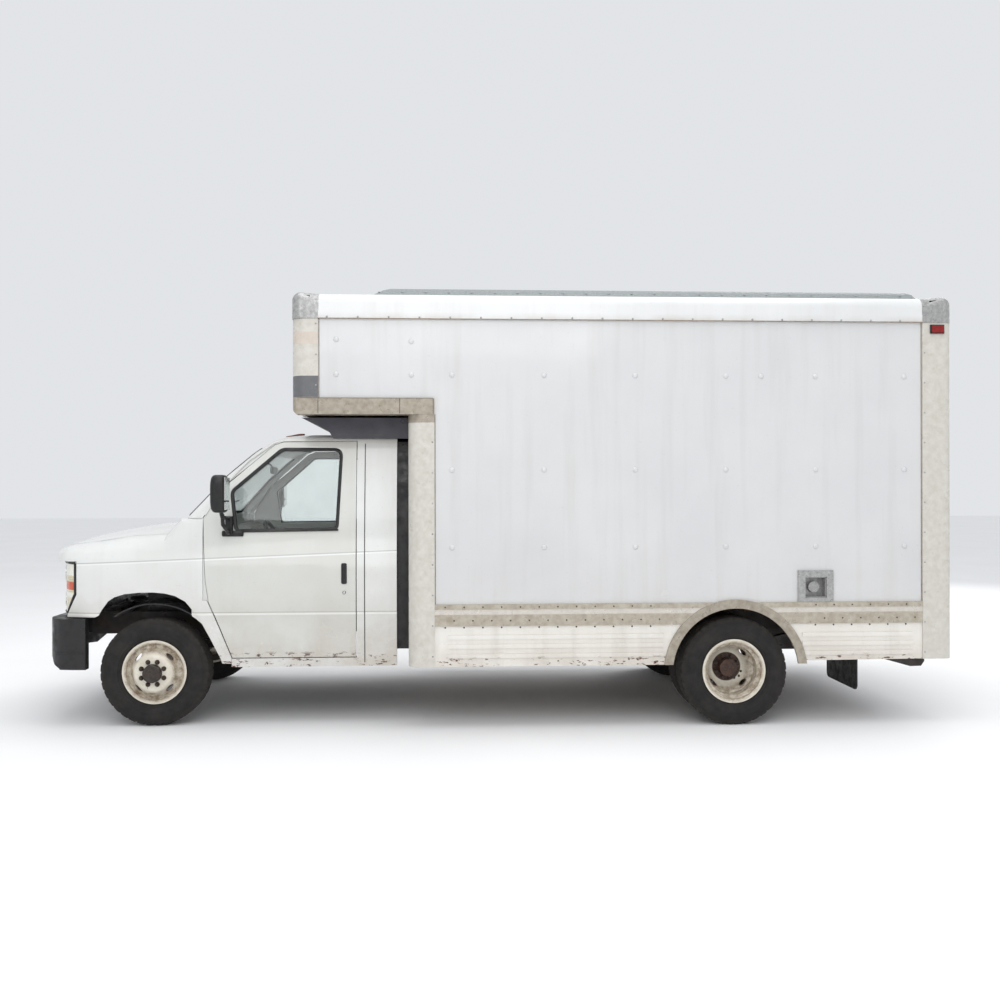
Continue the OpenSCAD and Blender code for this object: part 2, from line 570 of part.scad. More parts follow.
function mirrored_plan(points) = concat(points, [for (p = reversed(points)) if (p[1] > 0) [p[0], -p[1]]]);
module front_bumper() color(bumper_grey) vehicle() {
    difference() {
        plan_plate(mirrored_plan(bumper_plan), 399, 748);
        plan_plate(mirrored_plan([for (p = bumper_plan) [p[0] + 60 * (1 - p[1] / 1008) + 8, p[1] * 0.93]]), 380, 738);
        block(-500, -400, -930, 930, 380, 800);
        block(-660, -400, -600, 600, 730, 760);
        side_plate([[-800, 521], [-749, 521], [-700, 440], [-641, 405], [-641, 380], [-800, 380]], -1100, 1100);
        side_plate([[-800, 760], [-800, 715], [-775, 715], [-760, 738], [-735, 749], [-735, 760]], -1100, 1100);
    }
    both_sides() block(-740, -600.3, -frame_hw, -frame_hw + 60, frame_bottom + 10, 700);
}
module dashboard() color([0.2, 0.2, 0.2]) vehicle() {
    side_plate([[316.3, 1366], [316.3, 980], [430, 960], [560, 1040], [620, 1180], [600, 1290], [480, 1340],
        [330, 1366]], -870, 870);
    // engine cover between the seats, and the steering column's housing
    difference() {
        block(316.3, 760, -230, 230, frame_top + 12.3, 981);
        block(310, 490, -224, 224, frame_top, 940);
    }
    translate(wheel_centre) rotate([0, 90 - wheel_tilt, 0]) translate([0, 0, -260]) cylinder(r = 34, h = 124.7);
}
seat_y = 420;
module seat() {
    block(930, 1350, -180, 180, frame_top + 12.3, 950);
    hull() for (x = [900, 1340], y = [-215, 215], z = [975, 1030]) translate([x, y, z]) sphere(r = 34, $fn = 16);
    hull() for (x = [1330, 1375], y = [-200, 200]) translate([x, y, 1060]) sphere(r = 34, $fn = 16);
    hull() {
        for (y = [-195, 195]) translate([1350, y, 1040]) sphere(r = 45, $fn = 16);
        for (y = [-165, 165]) translate([1450, y, 1600]) sphere(r = 40, $fn = 16);
    }
    hull() for (y = [-90, 90], z = [1660, 1750]) translate([1475, y, z]) sphere(r = 40, $fn = 16);
}
module seats() color([0.45, 0.43, 0.40]) vehicle() both_sides() translate([0, -seat_y, 0]) seat();
wheel_tilt = 28;
wheel_centre = [760, -seat_y, 1235];
module steering_wheel() color(trim_black) vehicle() translate(wheel_centre) rotate([0, 90 - wheel_tilt, 0]) {
    rotate_extrude($fn = 64) translate([186, 0]) circle(r = 15, $fn = 24);
    cylinder(r = 60, h = 40, center = true);
    for (a = [0, 120, 240]) rotate(a) translate([50, -16, -6]) cube([124, 32, 12]);
    translate([0, 0, -135]) cylinder(r = 24, h = 130);
}
module cab_boot() color(rubber_black) vehicle() difference() {
    section_bar(boot_ring(36), cab_rear + 0.3, box_front + 14.7);
    section_bar(boot_ring(80), cab_rear - 1, box_front + 15);
    block(cab_rear - 1, box_front + 15, -700, 700, 400, 760);
}
function boot_ring(t) = let (z0 = 482 + t, z1 = 2052 - t, half = [for (z = [z0, 1162, 1500, 1900, 1975])
    [-(side_y(z) - t), z]]) concat(half, [[-700, z1]], [for (p = reversed(concat(half, [[-700, z1]]))) [-p[0], p[1]]]);
module cab_lamps() color([0.75, 0.35, 0.1]) vehicle() difference() {
    for (y = [-560, -280, 0, 280, 560]) hull() {
        translate([875, y, 1985]) cylinder(r = 30, h = 44);
        translate([960, y, 1985]) cylinder(r = 22, h = 63);
    }
    cab_volume(0, 0, cab_rear);
}
module door_panel() vehicle() {
    difference() {
        intersection() {
            section_bar(side_band(door_bottom, 1980, 0, 34), door_front - 10, door_rear + 10);
            side_plate(door_outline, -1100, -700);
        }
        side_plate(window_outline, -1100, -700);
    }
    intersection() {
        section_bar(side_band(door_bottom, belt_z, 33, door_t), door_front - 10, door_rear + 10);
        side_plate(door_inner, -1100, -700);
    }
}
glass_centre = [930, 1640];
module door_glass() vehicle() intersection() {
    section_bar(side_band(belt_z, 1960, 16, 16 + glass_t), 500, 1330);
    side_plate(shrunk(window_outline, glass_centre, 0.999), -1100, -700);
}
mirror_y = cab_hw + 245;
module door_mirror() vehicle() {
    hull() for (z = [1490, 1722]) {
        translate([480, -mirror_y + 70, z]) cylinder(r = 24, h = 1);
        translate([480, -mirror_y - 60, z]) cylinder(r = 24, h = 1);
        translate([540, -mirror_y + 80, z]) cylinder(r = 26, h = 1);
        translate([540, -mirror_y - 70, z]) cylinder(r = 26, h = 1);
    }
    block(500, 540, -mirror_y - 20, -side_y(1420) - 0.5, 1420, 1450);
    block(500, 540, -mirror_y - 20, -mirror_y + 20, 1430, 1500);
    block(470, 620, -side_y(1318) - 22, -side_y(1318) - 0.3, 1318, 1345);
    block(500, 540, -side_y(1318) - 60, -side_y(1318) - 0.3, 1318, 1345);
    block(500, 540, -side_y(1318) - 60, -side_y(1318) - 22, 1318, 1450);
}
module door_left() color(white) door_panel();
module door_right() color(white) right_side() door_panel();
module door_glass_left() color([0.3, 0.36, 0.36]) door_glass();
module door_glass_right() color([0.3, 0.36, 0.36]) right_side() door_glass();
module mirror_left() color(trim_black) door_mirror();
module mirror_right() color(trim_black) right_side() door_mirror();

// ---------------------------------------------------------------- box
post_w = 179;
rear_post_w = 214;
corner_r = 90;
corner_in = box_hw - corner_r - 0.6;
wall_bottom = deck_h - 145;
post_t = 14.7;
wheel_cut_r = tyre_r + 68;
arch_trim_r = wheel_cut_r + 60;
wall_top = box_top - 85;
roof_skin_z = box_top - 34;
header_top = roof_skin_z - 0.3;
module wheel_cut(r) { translate([wheelbase, 0, hub_z]) bar_y(r, -1400, 1400); }
module cargo_floor() color([0.45, 0.42, 0.38]) vehicle() {
    block(box_front + corner_r + 0.3, box_rear - 90, -wall_in, wall_in, deck_h - floor_t, deck_h);
    block(box_front + 45.3, box_front + corner_r + 1, -corner_in, corner_in, deck_h - floor_t, deck_h);
    for (x = [box_front + 60 : 400 : box_rear - 150])
        let (hw = abs(x + 25 - wheelbase) < arch_trim_r ? 690 : x < box_front + corner_r ? corner_in : wall_in)
            block(x, x + 50, -hw, hw, frame_top, deck_h - floor_t);
    block(box_rear - 150, box_rear - 90, -wall_in, wall_in, frame_top, deck_h - floor_t);
    block(loft_front + 45, box_front + 45, -corner_in, corner_in, loft_z + 16, loft_z + 48);
    block(loft_front + corner_r + 0.3, box_front + 45, -wall_in, wall_in, loft_z + 16, loft_z + 48);
}
module front_wall() color(panel_white) vehicle() {
    block(box_front + 15, box_front + 45, -corner_in, corner_in, frame_top, loft_z);
    block(loft_front + 15, loft_front + 45, -corner_in, corner_in, loft_z + 16, header_top);
}
module side_wall() {
    difference() {
        side_plate([[box_front + corner_r, wall_bottom], [box_rear - 90, wall_bottom], [box_rear - 90, wall_top],
            [loft_front + corner_r, wall_top], [loft_front + corner_r, loft_z + 15],
            [box_front + corner_r, loft_z + 15]], -wall_out, -wall_in);
        wheel_cut(wheel_cut_r + 4);
    }
}
// the fuel filler's frame and the opening in it, as x0, x1, z0 and z1
filler = [wheelbase + 437, wheelbase + 685, wall_bottom + 148, wall_bottom + 366];
recess = [wheelbase + 487, wheelbase + 638, wall_bottom + 177, wall_bottom + 320];
module recess_block(inset, y0, y1) {
    block(recess[0] + inset, recess[1] - inset, y0, y1, recess[2] + inset, recess[3] - inset);
}
module side_wall_left() color(panel_white) vehicle() difference() {
    side_wall();
    recess_block(0, -wall_out - 1, -wall_in + 1);
}
module side_wall_right() color(panel_white) vehicle() right_side() side_wall();
module fuel_filler() color(aluminium) vehicle() {
    difference() {
        block(filler[0], filler[1], -box_hw, -wall_out - 0.3, filler[2], filler[3]);
        recess_block(0, -box_hw - 1, -wall_out);
    }
    difference() {
        recess_block(0.3, -wall_out - 0.3, -wall_in + 30);
        recess_block(6, -box_hw - 1, -wall_in + 24);
    }
    translate([(recess[0] + recess[1]) / 2, -wall_in + 25, (recess[2] + recess[3]) / 2]) rotate([90, 0, 0])
        cylinder(r = 38, h = 40);
}
// the outline of a corner piece, in x and y, whose rounded corner points to -x -y
function corner_outline(x, w, r, t) = concat([[x + w, -box_hw]], arc(x + r, -box_hw + r, r, 270, 180, 8),
    [[x, -box_hw + w], [x + t, -box_hw + w], [x + t, -box_hw + r + 0.3], [x + r - 0.3, -box_hw + r + 0.3],
     [x + r - 0.3, -wall_out - 0.3], [x + w, -wall_out - 0.3]]);
module corner_posts() color([0.82, 0.80, 0.76]) vehicle() both_sides() {
    plan_plate(corner_outline(box_front, post_w, corner_r, post_t), skirt_z, loft_z - 56);
    plan_plate(corner_outline(loft_front, post_w, corner_r, post_t), loft_z + 116, box_top - roof_rail_h - 0.3);
    plan_plate([for (p = corner_outline(-box_rear, rear_post_w, 60, post_t)) [-p[0], p[1]]], skirt_z + 24,
        box_top - roof_rail_h - 0.3);
}
module roof() color([0.5, 0.54, 0.53]) vehicle() difference() {
    union() {
        block(loft_front + 60, box_rear - 60, -1110, 1110, roof_skin_z, box_top - 15.3);
        ring_solid([for (r = roof_rings) roof_ring(r, 0)]);
    }
    translate([0, 0, -12]) ring_solid([for (r = roof_rings) roof_ring(r, 14)]);
}
roof_rings = [[-40, 0, 0], [14, 0, 0], [50, 60, 40], [roof_rise - 4, 110, 90], [roof_rise, 160, 200]];
function roof_ring(r, t) = let (x0 = 1523 + r[1] + t, x1 = box_rear - 199 - r[1] / 4 - t, w = 1085 - r[2] - t)
    [[x0, -w, box_top + r[0]], [x1, -w, box_top + r[0]], [x1, w, box_top + r[0]], [x0, w, box_top + r[0]]];
rail_top_r = 70;
function rail_outline() = concat([[-wall_out - 0.3, box_top - roof_rail_h], [-box_hw - 2, box_top - roof_rail_h]],
    [for (a = [180 : -10 : 90]) [rail_top_r * (1 + cos(a)) - box_hw - 2, rail_top_r * (sin(a) - 1) + box_top]],
    [[-1092, box_top], [-1092, box_top - 15], [-wall_in, box_top - 15], [-wall_in, wall_top + 0.3],
     [-wall_out - 0.3, wall_top + 0.3]]);
module roof_rails() color(white) vehicle() both_sides()
    section_bar(rail_outline(), loft_front + post_w, box_rear - rear_post_w - 0.3);
module corner_cap(x0, x1) {
    difference() {
        hull() {
            for (z = [box_top - 50]) translate([x0 + 62, -box_hw + 56, z]) sphere(r = 60, $fn = 24);
            translate([x0 + 62, -box_hw + 56, box_top - roof_rail_h]) cylinder(r = 60, h = 10, $fn = 24);
            block(x0 + 62, x1, -1096, -1095, box_top - 30, box_top + 10);
            block(x0 + 2, x0 + 10, -1096, -1095, box_top - roof_rail_h, box_top - 50);
            block(x1 - 1, x1, -box_hw - 4, -1100, box_top - roof_rail_h, box_top - 60);
        }
        block(x0 + 60, x1 + 10, -wall_out - 0.3, -1000, box_top - 300, box_top - 15);
        block(x0 + 16.4, x1 + 10, -corner_in - 0.3, -1000, box_top - 300, box_top - 15);
    }
}
module corner_caps() color(aluminium) vehicle() both_sides() {
    corner_cap(loft_front - 2, loft_front + post_w - 0.3);
    translate([box_rear, 0, 0]) mirror([1, 0, 0]) corner_cap(-2, rear_post_w - 1.4);
}
rear_x = box_rear - 90;
plate_pitch = 178;
plate_y = -620;
plate_z = 780;
plate_hole_r = 3.5;
door_sill_z = deck_h - 20;
door_lintel_z = box_top - 305;
door_hw = 1030;
module rear_frame() color([0.82, 0.80, 0.76]) vehicle() difference() {
    block(rear_x + 0.3, box_rear - post_t - 0.3, -corner_in, corner_in, frame_top, header_top);
    block(rear_x - 1, box_rear + 1, -door_hw, door_hw, door_sill_z, door_lintel_z);
    for (y = [-plate_pitch / 2, plate_pitch / 2]) translate([rear_x - 1, plate_y + y, plate_z])
        rotate([0, 90, 0]) cylinder(r = plate_hole_r, h = 100);
}
module roll_door() color(panel_white) vehicle() {
    slat_h = (door_lintel_z - door_sill_z) / 5;
    for (k = [0 : 4]) block(rear_x + 20, rear_x + 42, 0.3 - door_hw, door_hw - 0.3, door_sill_z + 0.3 + slat_h * k,
        door_sill_z + slat_h * (k + 1) - 0.1);
}
module wheel_arches() color(aluminium) vehicle() both_sides() difference() {
    translate([wheelbase, 0, hub_z]) bar_y(arch_trim_r, -box_hw - 4, -wall_out - 0.3);
    wheel_cut(wheel_cut_r);
    block(wheelbase - 1000, wheelbase + 1000, -1400, 1400, -400, skirt_z);
}
skirt_out = wall_out + 4;
module side_skirts() color(white) vehicle() both_sides() {
    difference() {
        union() {
            block(box_front + post_w + 0.3, wheelbase, -skirt_out, -skirt_out + 8, skirt_z, wall_bottom - 0.3);
            side_plate([[wheelbase, skirt_z + 17], [box_rear - rear_post_w - 0.3, skirt_z + 25],
                [box_rear - rear_post_w - 0.3, wall_bottom - 0.3], [wheelbase, wall_bottom - 0.3]],
                -skirt_out, -skirt_out + 8);
            for (z = [skirt_z + 72, skirt_z + 138, skirt_z + 200]) {
                block(box_front + 267, wheelbase - 503, -skirt_out - 8, -skirt_out + 1, z - 14, z + 14);
                block(wheelbase + 467, box_rear - 285, -skirt_out - 8, -skirt_out + 1, z - 14, z + 14);
            }
        }
        wheel_cut(arch_trim_r + 0.3);
    }
    for (x = [box_front + 297, box_front + 1037, wheelbase - 613, wheelbase + 547, box_rear - 315])
        block(x, x + 40, -skirt_out + 7.9, -skirt_out + 40, 600, wall_bottom - 0.3);
}
module rub_rails() color(aluminium) vehicle() both_sides() difference() {
    union() {
        // lower rail, the strip sunk between the rails, and the upper rail
        for (rail = [[0, 77, -2], [77, 112, 4], [112, 147, -2]])
            block(box_front + post_w + 0.3, box_rear - rear_post_w - 0.3, -box_hw + rail[2], -wall_out - 0.3,
                wall_bottom + rail[0],
                wall_bottom + rail[1]);
    }
    wheel_cut(arch_trim_r + 0.3);
}
// the corner pieces and rail under the loft
module loft_rails() color([0.62, 0.58, 0.52]) vehicle() both_sides() {
    difference() {
        union() {
            block(loft_front + 30, box_front + post_w, -box_hw - 2, -wall_out - 0.3, loft_z, loft_z + 108);
            block(loft_front + 30, box_front + post_w, -wall_out - 0.4, -wall_in + 60, loft_z, loft_z + 14.7);
            plan_plate(corner_outline(loft_front, post_w, corner_r, post_t), loft_z, loft_z + 115.7);
            plan_plate(corner_outline(box_front, post_w, corner_r, post_t), loft_z - 55.7, loft_z + 0.1);
        }
        block(box_front + corner_r, box_front + 300, -wall_out - 0.35, 0, loft_z - 100, loft_z + 14.8);
        translate([loft_front, 0, 0]) side_plate([[-10, loft_z - 10], [40, loft_z - 10], [-10, loft_z + 40]], -1400, 0);
    }
}
module loft_fairing() color([0.30, 0.31, 0.34]) vehicle() difference() {
    side_plate([[1000, loft_z - 0.3], [1119, 2090], [1191, 2052], [1230, 1990], [box_front - 0.3, 1990],
        [box_front - 0.3, loft_z - 0.3]], -880, 880);
    cab_volume(-6, -4, cab_rear + 80);
    section_bar(boot_ring(35.7), cab_rear - 1, box_front + 1);
}
module rear_bumper() color(chassis_black) vehicle() {
    difference() {
        side_plate([[bumper_x0, step_z], [bumper_x1, step_z], [bumper_x1, step_z - 39], [bumper_x1 - 24, step_z - 73],
            [bumper_x1 - 104, step_z - 75], [bumper_x0, step_z - 14]], -1000, 1000);
        translate([hitch_x, 0, 300]) cylinder(r = hitch_r, h = 200);
        block(bumper_x0 + 18, hitch_x - 40, -960, 960, 300, step_z - 9);
        both_sides() block(hitch_x - 41, bumper_x1 - 12, -960, -60, 300, step_z - 9);
    }
}
module mud_flaps() color(rubber_black) vehicle() both_sides() {
    section_bar(concat([[-1150, deck_h - floor_t - 0.3]], arc(-1110, 265, 40, 180, 270, 6),
        arc(-623, 265, 40, 270, 360, 6), [[-583, deck_h - floor_t - 0.3]]), wheelbase + 874, wheelbase + 882);
}
module marker_lamps() color([0.6, 0.05, 0.05]) vehicle() {
    both_sides() block(box_rear - 156, box_rear - 71, -box_hw - 20, -box_hw - 0.3, box_top - 246, box_top - 197);
    for (y = [-900, -200, 0, 200, 900])
        block(box_rear - post_t, box_rear, y - 45, y + 45, door_lintel_z + 80, door_lintel_z + 120);
    both_sides() block(box_rear - post_t, box_rear, -1002, -932, door_sill_z - 84, door_sill_z - 14);
}

frame();
engine_block();
front_axle();
rear_axle();
springs();
driveshaft();
exhaust();
fuel_tank();
cab_shell();
cab_floor();
hood();
fender_left();
fender_right();
windshield();
grille();
headlamps();
front_bumper();
wheel_liners();
dashboard();
seats();
steering_wheel();
cab_boot();
cab_lamps();
loft_fairing();
loft_rails();
cargo_floor();
front_wall();
side_wall_left();
side_wall_right();
roof();
roof_rails();
corner_posts();
corner_caps();
rear_frame();
roll_door();
wheel_arches();
side_skirts();
rub_rails();
fuel_filler();
rear_bumper();
mud_flaps();
marker_lamps();
door_left();
door_right();
door_glass_left();
door_glass_right();
mirror_left();
mirror_right();
knuckle_left();
knuckle_right();
front_tyre_left();
front_tyre_right();
front_rim_left();
front_rim_right();
rear_tyres_left();
rear_tyres_right();
rear_rims_left();
rear_rims_right();
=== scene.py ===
"""The looks of a box truck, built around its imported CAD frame. Metres, +X rearward, -Y driver's side."""

import math

import bmesh
import bpy
from mathutils import Matrix, Vector
from mathutils.bvhtree import BVHTree


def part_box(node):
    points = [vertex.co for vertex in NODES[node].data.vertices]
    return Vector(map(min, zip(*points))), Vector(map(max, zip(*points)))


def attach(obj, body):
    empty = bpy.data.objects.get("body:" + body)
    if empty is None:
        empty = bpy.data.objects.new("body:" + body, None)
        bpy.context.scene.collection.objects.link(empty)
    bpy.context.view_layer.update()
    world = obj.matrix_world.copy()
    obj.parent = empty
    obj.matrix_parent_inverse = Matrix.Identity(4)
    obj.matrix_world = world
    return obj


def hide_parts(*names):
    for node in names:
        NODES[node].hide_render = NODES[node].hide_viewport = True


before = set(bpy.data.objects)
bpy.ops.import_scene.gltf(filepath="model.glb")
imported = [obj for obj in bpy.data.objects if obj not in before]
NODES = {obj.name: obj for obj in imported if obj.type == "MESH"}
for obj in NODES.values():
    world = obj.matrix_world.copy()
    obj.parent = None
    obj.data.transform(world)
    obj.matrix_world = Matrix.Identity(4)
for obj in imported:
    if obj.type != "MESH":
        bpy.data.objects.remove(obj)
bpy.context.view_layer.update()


# ------------------------------------------------------------ places read from the frame
def middle(node):
    low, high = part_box(node)
    return (low + high) / 2


FRONT_WHEEL = middle("front_tyre_left")
REAR_WHEEL = middle("rear_tyres_left")
AXLE_X = FRONT_WHEEL.x
BOX_HALF = -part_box("rub_rails")[0].y
REAR_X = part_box("corner_posts")[1].x
POST_WIDTH = 0.179
BOX_FRONT_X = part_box("side_skirts")[0].x - POST_WIDTH
LOFT_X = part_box("front_wall")[0].x - 0.015
WALL_Y = -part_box("side_wall_left")[0].y
RAIL_LOW, RAIL_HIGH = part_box("roof_rails")
DOORS = ("door_left", "door_right")
FRONT_WHEELS = ("front_wheel_left", "front_wheel_right")
REAR_WHEELS = ("rear_wheels_left", "rear_wheels_right")
LEFTWARD = (0, -1, 0)
REARWARD = (1, 0, 0)
# The radius at which a turned form closes on its own axis.
TIP = 0.0001


def back(distance):
    """x of a place that lies this far behind the front axle."""
    return AXLE_X + distance


def spread(start, end, steps):
    """Evenly spaced values from start to end, both included."""
    return [start + (end - start) * k / steps for k in range(steps + 1)]


def surface(*nodes):
    """A function that finds where a line first meets these CAD nodes."""
    points, faces = [], []
    for name in nodes:
        mesh = NODES[name].data
        start = len(points)
        points += [v.co.copy() for v in mesh.vertices]
        faces += [[start + i for i in p.vertices] for p in mesh.polygons]
    tree = BVHTree.FromPolygons(points, faces)

    def meet(origin, direction):
        return tree.ray_cast(Vector(origin), Vector(direction).normalized(), 20)[0]

    return meet


CAB_SIDE = surface("cab_shell", "door_left", "fender_left", "hood")


def on_cab(x, z, out=0.0):
    """The point of the cab's left side at x and z, lifted by out."""
    hit = CAB_SIDE((x, -3, z), (0, 1, 0))
    return Vector((x, hit.y - out, z))


# ------------------------------------------------------------ mesh building
class Shape:
    """The points and faces of one piece, put together from simple forms."""

    def __init__(self):
        self.points, self.faces = [], []

    def add(self, points, faces):
        start = len(self.points)
        self.points += [Vector(p) for p in points]
        self.faces += [[start + i for i in f] for f in faces]
        return self

    def hull(self, points):
        work = bmesh.new()
        for p in points:
            work.verts.new(p)
        made = bmesh.ops.convex_hull(work, input=work.verts)
        spare = {v for v in made["geom_interior"] if isinstance(v, bmesh.types.BMVert)}
        for v in spare:
            work.verts.remove(v)
        bmesh.ops.dissolve_limit(work, angle_limit=0.01, verts=work.verts, edges=work.edges)
        work.verts.index_update()
        self.add([v.co.copy() for v in work.verts], [[v.index for v in f.verts] for f in work.faces])
        work.free()
        return self

    def block(self, low, high, edge=0.002, turn=None):
        """A box with chamfered edges, turned by a matrix about its middle."""
        mid = [(a + b) / 2 for a, b in zip(low, high)]
        half = [abs(b - a) / 2 for a, b in zip(low, high)]
        edge = min([edge] + [h * 0.9 for h in half])
        corners = []
        for sx in (-1, 1):
            for sy in (-1, 1):
                for sz in (-1, 1):
                    signs = (sx, sy, sz)
                    for full in range(3):
                        corners.append(Vector([
                            s * (half[k] - (0 if k == full else edge)) for k, s in enumerate(signs)]))
        if turn is not None:
            corners = [turn @ c for c in corners]
        return self.hull([c + Vector(mid) for c in corners])

    def rows(self, rows, close_rows=False, close_columns=False, caps=False):
        """A skin over rows of points."""
        n, m = len(rows), len(rows[0])
        faces = []
        for i in range(n if close_rows else n - 1):
            for j in range(m if close_columns else m - 1):
                a, b = i * m + j, i * m + (j + 1) % m
                c, d = ((i + 1) % n) * m + (j + 1) % m, ((i + 1) % n) * m + j
                faces.append([a, b, c, d])
        if caps:
            faces.append(list(range(m - 1, -1, -1)))
            faces.append([(n - 1) * m + j for j in range(m)])
        return self.add([p for row in rows for p in row], faces)

    def tube(self, path, radius, sides=8, closed=False, flat=1.0):
        """A round or flattened tube along points; radius may be a list."""
        path = [Vector(p) for p in path]
        n = len(path)
        radii = radius if isinstance(radius, (list, tuple)) else [radius] * n
        side = None
        rows = []
        for i, p in enumerate(path):
            ahead = path[(i + 1) % n] if closed or i < n - 1 else p
            behind = path[i - 1] if closed or i > 0 else p
            along = (ahead - behind).normalized()
            if side is None:
                side = along.orthogonal().normalized()
            side = (side - along * side.dot(along)).normalized()
            up = along.cross(side)
            rows.append([p + radii[i] * (math.cos(a) * side + math.sin(a) * up * flat)
                         for a in [2 * math.pi * k / sides for k in range(sides)]])
        return self.rows(rows, close_rows=closed, close_columns=True, caps=not closed)

    def lathe(self, profile, centre, axis, steps=48, closed=False):
        """Turns (radius, along) points about an axis through centre."""
        axis = Vector(axis).normalized()
        u = axis.orthogonal().normalized()
        v = axis.cross(u)
        centre = Vector(centre)
        rows = [[centre + axis * h + r * (math.cos(a) * u + math.sin(a) * v) for r, h in profile]
                for a in [2 * math.pi * k / steps for k in range(steps)]]
        return self.rows(rows, close_rows=True, close_columns=closed)

    def dome(self, centre, normal, radius, height, sides=12):
        """A domed rivet head with a closed foot."""
        profile = [(radius * math.cos(t), height * math.sin(t)) for t in (0, 0.5, 0.95, 1.3)]
        profile = [(radius, -0.001)] + profile + [(TIP, height)]
        return self.lathe(profile, centre, normal, sides)

    def nut(self, centre, normal, radius, height):
        """A hexagon nut with a chamfered top and a round washer foot."""
        washer = [(radius * 1.25, -0.001), (radius * 1.25, height * 0.18), (TIP, height * 0.2)]
        body = [(radius, 0), (radius, height * 0.85), (radius * 0.82, height), (TIP, height)]
        return self.lathe(washer, centre, normal, 16).lathe(body, centre, normal, 6)


def mirror_y(shape):
    """The same shape on the truck's other side."""
    other = Shape()
    other.points = [Vector((p.x, -p.y, p.z)) for p in shape.points]
    other.faces = [list(reversed(f)) for f in shape.faces]
    return other


def piece(name, shape, material, body="root", slot=None, angle=35, bevel=0, smooth_levels=0):
    """Makes a shown piece from a shape, in the row frame, riding on a body."""
    mesh = bpy.data.meshes.new(name)
    mesh.from_pydata([tuple(p) for p in shape.points], [], shape.faces)
    mesh.validate()
    work = bmesh.new()
    work.from_mesh(mesh)
    bmesh.ops.recalc_face_normals(work, faces=work.faces)
    work.to_mesh(mesh)
    work.free()
    for p in mesh.polygons:
        p.use_smooth = True
    mesh.set_sharp_from_angle(angle=math.radians(angle))
    mesh.materials.append(material)
    made = bpy.data.objects.new(name, mesh)
    bpy.context.scene.collection.objects.link(made)
    if bevel:
        rounding = made.modifiers.new("edges", "BEVEL")
        rounding.width, rounding.segments, rounding.limit_method = bevel, 2, "ANGLE"
    if smooth_levels:
        made.modifiers.new("smooth", "SUBSURF").levels = smooth_levels
        made.modifiers["smooth"].render_levels = smooth_levels
    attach(made, body)
    return made


def pair(name, shape, material, bodies=("root", "root"), slot=None, **looks):
    """A left piece and its mirrored right one."""
    left = piece(name + "_left", shape, material, bodies[0], slot, **looks)
    right = piece(name + "_right", mirror_y(shape), material, bodies[1], slot, **looks)
    return left, right


# ------------------------------------------------------------ materials
def rgb(red, green, blue):
    """A linear colour from the 0 to 255 values a picture shows."""
    def linear(v):
        v /= 255
        return v / 12.92 if v <= 0.04045 else ((v + 0.055) / 1.055) ** 2.4
    return (linear(red), linear(green), linear(blue), 1)


class Finish:
    """Builds one procedural material on the object's own coordinates."""

    def __init__(self, name, roughness=0.5, metallic=0.0, coat=0.0, specular=0.5, **sockets):
        self.material = bpy.data.materials.new(name)
        self.material.use_nodes = True
        self.tree = self.material.node_tree
        self.shader = self.tree.nodes["Principled BSDF"]
        self.coordinates = self.tree.nodes.new("ShaderNodeTexCoord").outputs["Object"]
        settings = {"Roughness": roughness, "Metallic": metallic, "Coat Weight": coat,
                    "Specular IOR Level": specular}
        settings.update(sockets)
        for key, value in settings.items():
            self.shader.inputs[key].default_value = value
        self.parts = self.split(self.coordinates)

    def node(self, kind, inputs, **settings):
        made = self.tree.nodes.new("ShaderNode" + kind)
        for key, value in settings.items():
            setattr(made, key, value)
        for key, value in inputs.items():
            if isinstance(value, bpy.types.NodeSocket):
                self.tree.links.new(value, made.inputs[key])
            elif value is not None:
                made.inputs[key].default_value = value
        return made

    def split(self, vector):
        return self.node("SeparateXYZ", {"Vector": vector}).outputs

    def math(self, operation, a, b=None, clamp=False):
        return self.node("Math", {0: a, 1: b}, operation=operation, use_clamp=clamp).outputs[0]

    def noise(self, scale, detail=3.0, roughness=0.55, stretch=(1, 1, 1)):
        place = self.node("Mapping", {"Vector": self.coordinates, "Scale": stretch}).outputs[0]
        return self.node("TexNoise", {"Vector": place, "Scale": scale, "Detail": detail,
                                      "Roughness": roughness}).outputs["Fac"]

    def band(self, value, low, high, top=1.0):
        """0 at low, top at high, clamped between."""
        return self.node("MapRange", {"Value": value, "From Min": low, "From Max": high, "To Min": 0.0,
                                      "To Max": top}).outputs[0]

    def window(self, value, low, high, soft=0.002):
        """1 between low and high, 0 outside."""
        return self.math("MULTIPLY", self.band(value, low - soft, low), self.band(value, high + soft, high))

    def mix(self, factor, a, b):
        made = self.node("Mix", {"Factor": factor}, data_type="RGBA")
        for index, value in ((6, a), (7, b)):
            if isinstance(value, bpy.types.NodeSocket):
                self.tree.links.new(value, made.inputs[index])
            else:
                made.inputs[index].default_value = value
        return made.outputs[2]

    def radius_from(self, centre):
        """Distance from a wheel's axis."""
        dx = self.math("SUBTRACT", self.parts[0], centre.x)
        dz = self.math("SUBTRACT", self.parts[2], centre.z)
        squares = self.math("ADD", self.math("MULTIPLY", dx, dx), self.math("MULTIPLY", dz, dz))
        return self.math("SQRT", squares)

    def colour(self, value):
        self.tree.links.new(value, self.shader.inputs["Base Color"])
        return self

    def rough(self, value):
        self.tree.links.new(value, self.shader.inputs["Roughness"])
        return self

    def bump(self, height, distance=0.001, strength=0.5):
        made = self.node("Bump", {"Height": height, "Distance": distance, "Strength": strength})
        self.tree.links.new(made.outputs[0], self.shader.inputs["Normal"])
        return self


